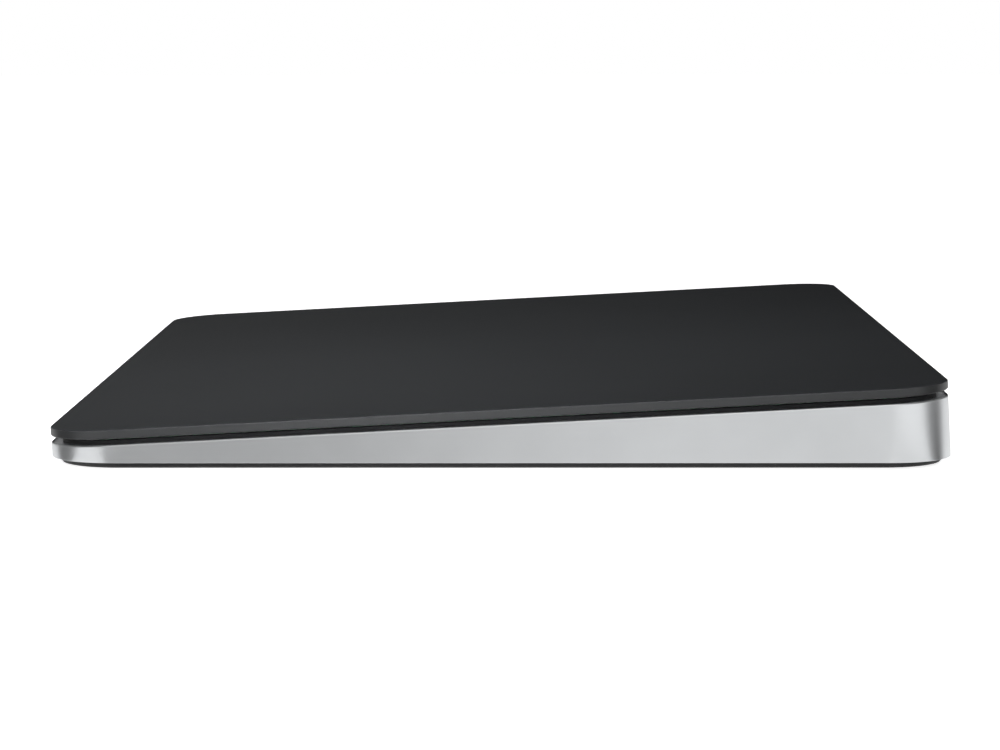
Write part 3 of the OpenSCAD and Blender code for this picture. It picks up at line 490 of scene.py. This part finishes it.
# the same for an outline with round ends
def slotRings(centre, length, height, profile, runSteps=8, arcSteps=20):
    return carriedRings(centre, *roundedOutline(length, height, height / 2, arcSteps, runSteps), profile)


rear = {
    "depth": 5.88,                # middle of port and switch below the top of the glass, square to it
    "portSize": (8.94, 3.16),     # outside of the port's shell
    "portShell": 0.3,
    "portLength": 7.3,
    "portRecess": 0.3,            # the mouth behind the rear face
    "switchIn": 32.0,             # middle of the switch in from the right side
    "switchTravel": 2.0,
    "knobSize": (5.0, 2.2),
    "knobRecess": 0.2,
    "gap": 0.15,
}
switchX = padWidth / 2 - rear["switchIn"]

# housing: a wedge swept from rim to underside, then milled: the recess over the deck, pockets and windows
# under the plate, bosses, screw holes, and the two openings in the rear wall
housing = {
    "level": 1.15,                # underside over the desk
    "flatStart": 5.0,             # where the flat rim and underside start, in from the edge
    "roundReach": 3,              # wall rows next to an edge, in rounds of that edge
    "deep": 20.0,                 # pockets are cut this far down, past the underside
    "past": 1.0,                  # cutters run this far past a face
    "sink": 0.2,                  # bosses run this far into the deck
    "rimRound": 0.2,
    "lowRound": 0.06,
    "rib": 2.0,
    "pocketRadius": 3.0,
    "windowRadius": 1.0,
    "mouthChamfer": 0.12,
    "bossDiameter": 3.6,
    "holeDiameter": 1.4,
    "holeSteps": 24,
    "standoff": 0.3,
    "portBossDepth": 5.18,
    "clampSize": (6.0, 14.0, 1.5),
    "clampDepth": 2.8,
    "clampX": 50.0,               # clamps lie this far out from the middle
    "clampIn": 13.0,              # and this far in from the front and rear edges
    "portBossX": 7.62,
    "portBossIn": 2.7,            # bosses lie this far in front of the rear wall
    "rivetPitch": 9.0,
}
# fields and the notch are (x0, x1, v0, v1), places are (x, v)
middle = {"haptic": 35.8, "front": 46.0, "back": 66.0}      # the haptic pocket's half width, front and back
windowFields = [(-28.2, 28.2, 51.4, 64.0), (43.9, 70.9, 49.0, 63.0)]
clampRows = (housing["clampIn"], padDepth - housing["clampIn"])
clampPlaces = [(sideX * housing["clampX"], v) for sideX in (-1, 1) for v in clampRows]
standoffPlaces = [(-31.0, 54.0), (31.0, 54.0), (41.5, 49.7), (73.3, 49.7), (73.3, 62.3)]
portBossPlaces = [(sideX * housing["portBossX"], innerV - housing["portBossIn"]) for sideX in (-1, 1)]
leadNotch = (33.8, 39.8, 56.0, 60.4)


# the wedge's rings: the rim's rows lie at a depth below the glass, the underside's at a height over its
# level
def housingRings():
    outline, normals = padOutline(0)
    edge, low, rim = housing["rimRound"], housing["lowRound"], -pad["rimDepth"]
    start, reach = housing["flatStart"], housing["roundReach"]
    above = softProfile([(start, rim, 0), (0, rim, edge), (0, rim - reach * edge, 0)])
    below = softProfile([(0, reach * low, 0), (0, 0, low), (start, 0, 0)])
    upper = sweepRound(outline, normals, above)
    lower = sweepRound(outline, normals, below)
    lower[..., 2] = depthAtLevel(lower[..., 1], housing["level"] + lower[..., 2])
    return filledRings(np.concatenate([upper, lower]))


# the pockets' plans: front, left, haptic, logic and rear, with ribs between them
def pocketPlans():
    rib, radius, half = housing["rib"], housing["pocketRadius"], middle["haptic"]
    front, back = middle["front"], middle["back"]
    fields = [
        (-innerX, innerX, pad["wall"], front - rib),
        (-innerX, -half - rib, front, back),
        (-half, half, front, back),
        (half + rib, innerX, front, back + rib + 3 * radius),     # runs on into the rear pocket
        (-innerX, innerX, back + rib, innerV),
    ]
    return [fieldPlan(*field, radius) for field in fields]


# the two rear openings: slots through the wall, flared at the mouth by a chamfer that runs past the face
def rearOpenings():
    flare, gap = housing["mouthChamfer"], 2 * rear["gap"]
    start, face = innerV - pad["wall"], padDepth
    profile = np.array([(0, start), (0, face - flare), (-flare, face), (-3 * flare, face + 2 * flare)])
    port = slotRings((0, rear["depth"]), rear["portSize"][0] + gap, rear["portSize"][1] + gap, profile)
    slide = rear["knobSize"][0] + rear["switchTravel"] + gap
    switch = slotRings((switchX, rear["depth"]), slide, rear["knobSize"][1] + gap, profile)
    return padObject("openings", [port, switch])


# the wedge less its recess, pockets and windows, plus clamps and bosses, less holes, notch and openings
def makeHousing():
    deep, past, sink = housing["deep"], housing["past"], housing["sink"]
    clampLength, clampWidth, clampRadius = housing["clampSize"]
    halfX, halfV = clampLength / 2, clampWidth / 2
    clamps = [fieldPlan(x - halfX, x + halfX, v - halfV, v + halfV, clampRadius) for x, v in clampPlaces]
    rivets = [(x, v + side * housing["rivetPitch"] / 2) for x, v in clampPlaces for side in (-1, 1)]
    boss, hole = housing["bossDiameter"], housing["holeDiameter"]
    standoffLow = pad["deckLow"] + housing["standoff"]
    piece = padObject("wedgeHousing", [housingRings()])
    inside = padOutline(pad["wall"])[0]
    combine(piece, padBlocks("recess", [inside], pad["rimDepth"] - past, pad["deckTop"]), "DIFFERENCE")
    for plan in pocketPlans():
        pocket = padBlocks("pocket", [plan], pad["deckLow"], deep)
        combine(pocket, padBlocks("inside", [inside], pad["rimDepth"], deep + past), "INTERSECT")
        combine(piece, pocket, "DIFFERENCE")
    windows = [fieldPlan(*field, housing["windowRadius"]) for field in windowFields]
    combine(piece, padBlocks("windows", windows, pad["deckTop"] - past, pad["deckLow"] + past), "DIFFERENCE")
    combine(piece, padBlocks("clamps", clamps, housing["clampDepth"], pad["deckLow"] - sink), "UNION")
    standoffs = [discPlan(place, boss) for place in standoffPlaces]
    combine(piece, padBlocks("standoffs", standoffs, pad["deckTop"] + sink, standoffLow), "UNION")
    portBosses = [discPlan(place, boss) for place in portBossPlaces]
    portBossLow = housing["portBossDepth"]
    combine(piece, padBlocks("portBosses", portBosses, pad["deckTop"] + sink, portBossLow), "UNION")
    holePlaces = rivets + standoffPlaces + portBossPlaces
    holes = [discPlan(place, hole, housing["holeSteps"]) for place in holePlaces]
    combine(piece, padBlocks("holes", holes, pad["rimDepth"], 2 * portBossLow), "DIFFERENCE")
    x0, x1, v0, v1 = leadNotch
    notch = np.array([(x0, v0), (x1, v0), (x1, v1), (x0, v1)])
    combine(piece, padBlocks("notch", [notch], pad["deckLow"], standoffLow), "DIFFERENCE")
    combine(piece, rearOpenings(), "DIFFERENCE")
    finishPiece(piece, "chassis", "housing", "satin_aluminium")


footNames = ["foot_" + end + "_" + side for end in ("front", "rear") for side in ("left", "right")]


# base cover: a plate with a softened chamfer underneath and a round seat for each foot
def makeBase():
    base = {"cornerRadius": 8.1, "arcSteps": 40, "topRound": 0.15, "chamfer": 0.2, "soften": 0.06,
            "flatStart": 6.0, "seatGap": 0.1, "seatDepth": 0.3, "seatPast": 1.0, "seatSteps": 96}
    low, high = (mmPerMetre * np.array(corner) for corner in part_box("base_cover"))
    wide, deep = (high - low)[:2]
    outline, normals = roundedOutline(wide, deep, base["cornerRadius"], base["arcSteps"])
    outline = outline + (low[:2] + high[:2]) / 2
    profile = softProfile([
        (base["flatStart"], high[2], 0),
        (0, high[2], base["topRound"]),
        (0, low[2] + base["chamfer"], base["soften"]),
        (base["chamfer"], low[2], base["soften"]),
        (base["flatStart"], low[2], 0),
    ])
    piece = meshObject("baseCover", [shellOf(filledRings(sweepRound(outline, normals, profile)))])
    seats = []
    for name in footNames:
        footLow, footHigh = (mmPerMetre * np.array(corner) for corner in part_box(name))
        seatDiameter = footHigh[0] - footLow[0] + 2 * base["seatGap"]
        plan = discPlan((footLow + footHigh)[:2] / 2, seatDiameter, base["seatSteps"])
        levels = (low[2] - base["seatPast"], low[2] + base["seatDepth"])
        seats.append(shellOf(np.stack([np.column_stack([plan, np.full(len(plan), z)]) for z in levels])))
    combine(piece, meshObject("seats", seats), "DIFFERENCE")
    finishPiece(piece, "chassis", "base_cover", "base_plastic")


# feet: turned discs with a round lower edge
def makeFeet():
    foot = {"lowRound": 0.25, "topRound": 0.08, "flatStart": 1.5, "steps": 96}
    angle = np.linspace(0, 2 * math.pi, foot["steps"], endpoint=False)
    outward = np.stack([np.cos(angle), np.sin(angle)], axis=1)
    for name in footNames:
        low, high = (mmPerMetre * np.array(corner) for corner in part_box(name))
        outline = (low + high)[:2] / 2 + (high[0] - low[0]) / 2 * outward
        profile = softProfile([
            (foot["flatStart"], high[2], 0),
            (0, high[2], foot["topRound"]),
            (0, low[2], foot["lowRound"]),
            (foot["flatStart"], low[2], 0),
        ])
        end, side = name.split("_")[1:]
        piece = meshObject("foot" + end.title() + side.title(),
                           [shellOf(filledRings(sweepRound(outline, outward, profile)))])
        finishPiece(piece, "chassis", name, "foot_rubber")


# charge port: an oval sleeve with a rolled lip, and a tongue that stands on a block at its back
def makePort():
    port = {"lip": 0.11, "block": 1.2, "blockFill": 0.4, "tongueSize": (6.70, 0.7, 0.18),
            "tongueRecess": 0.9, "tongueRound": 0.12, "tongueFill": (0.1, 0.15), "tongueSteps": (8, 12)}
    centre = (0, rear["depth"])
    length, height = rear["portSize"]
    mouth = padDepth - rear["portRecess"]
    start = mouth - rear["portLength"]
    sleeve = softProfile([
        (0, start, 0),
        (0, mouth, port["lip"]),
        (rear["portShell"], mouth, port["lip"]),
        (rear["portShell"], start, 0),
    ], closed=True)
    shell = padObject("portSleeve", [slotRings(centre, length, height, sleeve)], loop=True)
    finishPiece(shell, "chassis", "charge_port_shell", "plated_steel")
    inside = 2 * rear["portShell"]
    fill, blockEnd = port["blockFill"], start + port["block"]
    back = np.array([(fill, start), (0, start), (0, blockEnd), (fill, blockEnd)])
    block = slotRings(centre, length - inside, height - inside, back)
    root, end = start + port["block"] / 2, mouth - port["tongueRecess"]
    rootFill, endFill = port["tongueFill"]
    tongue = carriedRings(centre, *roundedOutline(*port["tongueSize"], *port["tongueSteps"]), softProfile([
        (rootFill, root, 0),
        (0, root, 0),
        (0, end, port["tongueRound"]),
        (endFill, end, 0),
    ]))
    core = padObject("portTongue", [block])
    combine(core, padObject("tongue", [tongue]), "UNION")
    finishPiece(core, "chassis", "charge_port_core", "black_plastic")


# power slide: a knob whose face carries round grip grooves, on a flange with a pin behind the wall
def makeSlider():
    slider = {"edge": 0.2, "backFill": 0.3, "faceRows": 7, "faceColumns": 160,
              "grooves": 5, "grooveWidth": 0.3, "grooveDepth": 0.2,
              "flange": 0.6, "flangeRound": 0.1, "flangeFill": 0.4, "lap": 1.6, "lip": 0.6,
              "pinWidth": 1.2, "pinLength": 1.4, "pinRound": 0.1, "pinSteps": (4, 2)}
    length, height = rear["knobSize"]
    centre = (switchX - rear["switchTravel"] / 2, rear["depth"])
    face = padDepth - rear["knobRecess"]
    back = innerV - rear["gap"] - slider["flange"]
    faceStart = 2 * slider["edge"]
    inward = np.linspace(faceStart, height / 2, slider["faceRows"])[1:]
    edge = softProfile([
        (slider["backFill"], back, 0),
        (0, back, 0),
        (0, face, slider["edge"]),
        (faceStart, face, 0),
    ])
    profile = np.concatenate([edge, np.stack([inward, np.full(len(inward), face)], axis=1)])
    knob = slotRings(centre, length, height, profile, slider["faceColumns"])
    # a groove's depth falls off as a raised cosine from its middle line
    pitch = 2 * slider["grooveWidth"]
    middles = (np.arange(slider["grooves"]) - (slider["grooves"] - 1) / 2) * pitch
    across = np.abs(knob[..., 0, None] - centre[0] - middles).min(axis=-1)
    share = np.clip(across / slider["grooveWidth"], 0, 1)
    knob[..., 1] = np.minimum(knob[..., 1], face - slider["grooveDepth"] * (1 + np.cos(math.pi * share)) / 2)
    fill, radius, front = slider["flangeFill"], slider["flangeRound"], back + slider["flange"]
    flange = slotRings(centre, length + 2 * slider["lap"], height + 2 * slider["lip"], softProfile([
        (fill, back, 0),
        (0, back, radius),
        (0, front, radius),
        (fill, front, 0),
    ]))
    side = slider["pinWidth"]
    pinEnds = np.array([(0, back - slider["pinLength"]), (0, back + slider["flange"] / 2)])
    pin = carriedRings(centre, *roundedOutline(side, side, slider["pinRound"], *slider["pinSteps"]), pinEnds)
    # the last ring folds up to a line, so the knob's face needs no pole
    points, faces = shellOf(knob)
    piece = meshObject("powerSlide", [(toRow(points[:-1]), faces[:-knob.shape[1]])])
    combine(piece, padObject("flange", [flange]), "UNION")
    combine(piece, padObject("pin", [pin]), "UNION")
    finishPiece(piece, "power_slide", "switch_slider", "grey_plastic")


makeGlass()
makeGasket()
makeHousing()
makeBase()
makeFeet()
makePort()
makeSlider()

# camera at the photograph's place: position in mm, angles in degrees
view = {"place": (471.44, 2.27, 55.77), "yaw": 0.332, "pitch": 6.343, "roll": 0.056, "lens": 113.65,
        "sensor": 36.0, "clip": (0.01, 100.0)}


# the camera looks along minus x, turned by the yaw and down by the pitch, then rolled about its view
def makeCamera():
    yaw, pitch, roll = (math.radians(view[name]) for name in ("yaw", "pitch", "roll"))
    forward = Vector((-math.cos(pitch) * math.cos(yaw), -math.cos(pitch) * math.sin(yaw), -math.sin(pitch)))
    right = forward.cross(Vector((0, 0, 1))).normalized()
    up = right.cross(forward)
    turned = Matrix.Rotation(roll, 3, forward)
    axes = Matrix((turned @ right, turned @ up, -forward)).transposed()
    data = bpy.data.cameras.new("camera")
    data.lens = view["lens"]
    data.sensor_width = view["sensor"]
    data.clip_start, data.clip_end = view["clip"]
    camera = bpy.data.objects.new("camera", data)
    scene.collection.objects.link(camera)
    camera.matrix_world = Matrix.Translation(Vector(view["place"]) * mm) @ axes.to_4x4()
    scene.camera = camera


makeCamera()

# stage, in metres: a white floor that keeps the shadow, a white backdrop under a dark ceiling, soft lamps
# and graded cards
stage = {
    "floorRadius": 3.0,
    "floorSteps": 96,
    "floorColour": 0.80,
    "floorGlow": 0.86,      # added for the camera, so that the open floor is white and the shadow faint
    "mirrorGlow": 0.40,     # added in reflections
    "fade": (0.2, 0.6),     # the floor fades into the backdrop between these distances
    "ambient": 0.20,
    "horizon": 0.10,        # up to this height the backdrop is white in reflections
    "dark": 0.38,           # and from this height it is the dark ceiling
    "ceiling": 0.04,        # level of the dark ceiling in reflections
}


# one where a ray comes from the camera, a mirror-like surface or through glass, and the light path's node
def seenDirectly(tree):
    seen = tree.nodes.new("ShaderNodeLightPath")
    first, second = (tree.nodes.new("ShaderNodeMath") for _ in range(2))
    first.operation = second.operation = "MAXIMUM"
    tree.links.new(seen.outputs["Is Camera Ray"], first.inputs[0])
    tree.links.new(seen.outputs["Is Glossy Ray"], first.inputs[1])
    tree.links.new(first.outputs[0], second.inputs[0])
    tree.links.new(seen.outputs["Is Transmission Ray"], second.inputs[1])
    return second.outputs[0], seen


# a material with no shader yet, and the socket that waits for one
def emptyMaterial(name):
    material = bpy.data.materials.new(name)
    material.use_nodes = True
    material.node_tree.nodes.remove(material.node_tree.nodes["Principled BSDF"])
    return material, material.node_tree.nodes["Material Output"].inputs["Surface"]


# a disc whose paint takes the shadow, with a glow for the camera and in reflections
def makeFloor():
    angle = np.linspace(0, 2 * math.pi, stage["floorSteps"], endpoint=False)
    rim = np.stack([np.cos(angle), np.sin(angle), 0 * angle], axis=1) * stage["floorRadius"]
    mesh = bpy.data.meshes.new("floor")
    mesh.from_pydata(rim.tolist(), [], [list(range(len(rim)))])
    floor = bpy.data.objects.new("floor", mesh)
    scene.collection.objects.link(floor)
    material, surface = emptyMaterial("floor")
    direct, seen = seenDirectly(material.node_tree)
    paint = addNode(material, "BsdfDiffuse")
    paint.inputs["Color"].default_value = (stage["floorColour"],) * 3 + (1,)
    # away from the object the glow rises, so that the floor fades into the backdrop
    coordinates = addNode(material, "TexCoord")
    distance = addNode(material, "VectorMath", operation="LENGTH")
    fade = addNode(material, "MapRange", interpolation_type="SMOOTHSTEP")
    fade.inputs["From Min"].default_value = stage["fade"][0]
    fade.inputs["From Max"].default_value = stage["fade"][1]
    fade.inputs["To Min"].default_value = stage["floorGlow"]
    fade.inputs["To Max"].default_value = 1.0
    level = addNode(material, "Mix", data_type="FLOAT")
    level.inputs["A"].default_value = stage["mirrorGlow"]
    join(material, coordinates.outputs["Object"], distance.inputs[0])
    join(material, distance.outputs["Value"], fade.inputs["Value"])
    join(material, seen.outputs["Is Camera Ray"], level.inputs["Factor"])
    join(material, fade.outputs["Result"], level.inputs["B"])
    strength = addNode(material, "Math", operation="MULTIPLY")
    join(material, level.outputs["Result"], strength.inputs[1])
    glow = addNode(material, "Emission")
    both = addNode(material, "AddShader")
    join(material, direct, strength.inputs[0])
    join(material, strength.outputs[0], glow.inputs["Strength"])
    join(material, paint.outputs[0], both.inputs[0])
    join(material, glow.outputs[0], both.inputs[1])
    # from below, and for the lamp under it, the floor is clear
    side = addNode(material, "NewGeometry")
    clearTo = addNode(material, "Math", operation="MAXIMUM")
    clear = addNode(material, "BsdfTransparent")
    mix = addNode(material, "MixShader")
    join(material, side.outputs["Backfacing"], clearTo.inputs[0])
    join(material, seen.outputs["Is Shadow Ray"], clearTo.inputs[1])
    join(material, clearTo.outputs[0], mix.inputs[0])
    join(material, both.outputs[0], mix.inputs[1])
    join(material, clear.outputs[0], mix.inputs[2])
    join(material, mix.outputs[0], surface)
    mesh.materials.append(material)


# the backdrop is white to the camera; in reflections it is white at the horizon and fades to a dark ceiling
def makeWorld():
    world = bpy.data.worlds.new("studio")
    scene.world = world
    world.use_nodes = True
    tree = world.node_tree
    ambient = tree.nodes["Background"]
    ambient.inputs["Color"].default_value = (1, 1, 1, 1)
    ambient.inputs["Strength"].default_value = stage["ambient"]
    coordinates = tree.nodes.new("ShaderNodeTexCoord")
    split = tree.nodes.new("ShaderNodeSeparateXYZ")
    fade = tree.nodes.new("ShaderNodeValToRGB")
    levels = [(stage["horizon"], 1.0), (stage["dark"], stage["ceiling"])]
    for element, (height, level) in zip(fade.color_ramp.elements, levels):
        element.position = height
        element.color = (level, level, level, 1)
    tree.links.new(coordinates.outputs["Generated"], split.inputs[0])
    tree.links.new(split.outputs["Z"], fade.inputs["Fac"])
    direct, seen = seenDirectly(tree)
    level = tree.nodes.new("ShaderNodeMath")
    level.operation = "MAXIMUM"
    tree.links.new(fade.outputs["Color"], level.inputs[0])
    tree.links.new(seen.outputs["Is Camera Ray"], level.inputs[1])
    backdrop = tree.nodes.new("ShaderNodeBackground")
    backdrop.inputs["Color"].default_value = (1, 1, 1, 1)
    tree.links.new(level.outputs[0], backdrop.inputs["Strength"])
    mix = tree.nodes.new("ShaderNodeMixShader")
    tree.links.new(direct, mix.inputs[0])
    tree.links.new(ambient.outputs[0], mix.inputs[1])
    tree.links.new(backdrop.outputs[0], mix.inputs[2])
    tree.links.new(mix.outputs[0], tree.nodes["World Output"].inputs["Surface"])


# a lamp that looks at the origin, unseen by the camera
def makeLamp(name, place, size, watts, inGloss=False):
    data = bpy.data.lights.new(name, "AREA")
    data.shape = "RECTANGLE"
    data.size, data.size_y = size
    data.energy = watts
    lamp = bpy.data.objects.new(name, data)
    scene.collection.objects.link(lamp)
    lamp.location = place
    lamp.rotation_mode = "QUATERNION"
    lamp.rotation_quaternion = (-Vector(place)).to_track_quat("-Z", "Y")
    lamp.visible_glossy = inGloss
    lamp.visible_camera = False


# a card that only reflections see, its level graded along x or y between stops of (place in mm, level)
def makeCard(name, corners, axis, stops):
    mesh = bpy.data.meshes.new(name)
    mesh.from_pydata((mm * np.array(corners, float)).tolist(), [], [list(range(len(corners)))])
    card = bpy.data.objects.new(name, mesh)
    scene.collection.objects.link(card)
    material, surface = emptyMaterial(name)
    coordinates = addNode(material, "TexCoord")
    split = addNode(material, "SeparateXYZ")
    place = addNode(material, "MapRange")
    first, last = stops[0][0], stops[-1][0]
    place.inputs["From Min"].default_value = mm * first
    place.inputs["From Max"].default_value = mm * last
    ramp = addNode(material, "ValToRGB")
    while len(ramp.color_ramp.elements) < len(stops):
        ramp.color_ramp.elements.new(0.5)
    for element, (along, level) in zip(ramp.color_ramp.elements, stops):
        element.position = (along - first) / (last - first)
        element.color = (level, level, level, 1)
    light = addNode(material, "Emission")
    join(material, coordinates.outputs["Object"], split.inputs[0])
    join(material, split.outputs[axis], place.inputs["Value"])
    join(material, place.outputs["Result"], ramp.inputs["Fac"])
    join(material, ramp.outputs["Color"], light.inputs["Color"])
    join(material, light.outputs[0], surface)
    mesh.materials.append(material)
    card.visible_camera = False
    card.visible_diffuse = False
    card.visible_shadow = False


# places and sizes in metres
lamps = {
    "topLight": {"place": (0.1, 0.1, 1.6), "size": (1.6, 1.6), "watts": 3.2},
    "keyLight": {"place": (0.75, 0.14, 0.70), "size": (0.8, 0.8), "watts": 3, "inGloss": True},
    "poolLight": {"place": (0.043, -0.036, 0.14), "size": (0.08, 0.08), "watts": 0.20},
    "bandLight": {"place": (0.16, -0.02, 0.012), "size": (0.02, 0.01), "watts": 0.13},
    "farLight": {"place": (0.7, 0.9, 0.6), "size": (0.6, 0.6), "watts": 0.7},
    "underLight": {"place": (0.0, 0.0, -1.2), "size": (1.4, 1.4), "watts": 10},
}

# corners in mm
cards = {
    "backCard": {
        "corners": [(-320, -260, 1), (-320, 300, 1), (-320, 300, 320), (-320, -260, 320)], "axis": "Y",
        "stops": [(-260, 0.06), (-60, 0.05), (100, 0.0), (300, 0.0)]},
    "rightCard": {
        "corners": [(80.6, -49.7, 0.1), (80.6, 48.6, 0.1), (400, 165, 60), (400, -210, 60)], "axis": "Y",
        "stops": [(-210, 0.41), (-50, 0.41), (-25, 0.475), (0, 0.66), (20, 0.77), (60, 0.77), (165, 0.80)]},
    "frontGapCard": {
        "corners": [(79.2, -55.5, 0.1), (80.6, -50.2, 0.1), (390, -210, 58), (141, -155, 18)], "axis": "X",
        "stops": [(80, 1.0), (390, 1.0)]},
    "rearGapCard": {
        "corners": [(80.6, 49.2, 0.1), (79.2, 55.5, 0.1), (112, 155, 18), (400, 170, 60)], "axis": "Y",
        "stops": [(49, 0.80), (54, 0.86), (58, 0.98), (64, 1.1), (170, 1.1)]},
    "leftCard": {
        "corners": [(-80.6, 48.6, 0.1), (-80.6, -49.5, 0.1), (-300, -120, 12), (-300, 120, 12)], "axis": "Y",
        "stops": [(-120, 0.75), (0, 0.55), (120, 0.75)]},
    "frontCard": {
        "corners": [(-76, -58.2, 0.1), (76, -58.2, 0.1), (140, -380, 60), (-150, -380, 60)], "axis": "X",
        "stops": [(-150, 0.75), (-40, 0.55), (10, 0.65), (40, 1.0), (140, 1.0)]},
    "rearCard": {
        "corners": [(76, 58.2, 0.1), (-76, 58.2, 0.1), (-150, 380, 60), (140, 380, 60)], "axis": "X",
        "stops": [(-150, 0.75), (-40, 0.55), (10, 0.65), (40, 1.0), (140, 1.0)]},
    "frontCornerCard": {
        "corners": [(76.9, -55.9, 0.4), (78.6, -55.9, 0.4), (140, -154.4, 19), (8, -154.4, 19)], "axis": "X",
        "stops": [(0, 0.15), (140, 0.15)]},
    "rearCornerCard": {
        "corners": [(77.7, 55.9, 0.4), (76.8, 55.9, 0.4), (31, 154.4, 19), (110, 154.4, 19)], "axis": "X",
        "stops": [(0, 0.06), (120, 0.06)]},
}

makeFloor()
makeWorld()
for name, lamp in lamps.items():
    makeLamp(name, **lamp)
for name, card in cards.items():
    makeCard(name, **card)
print("stage, lamps and camera set")
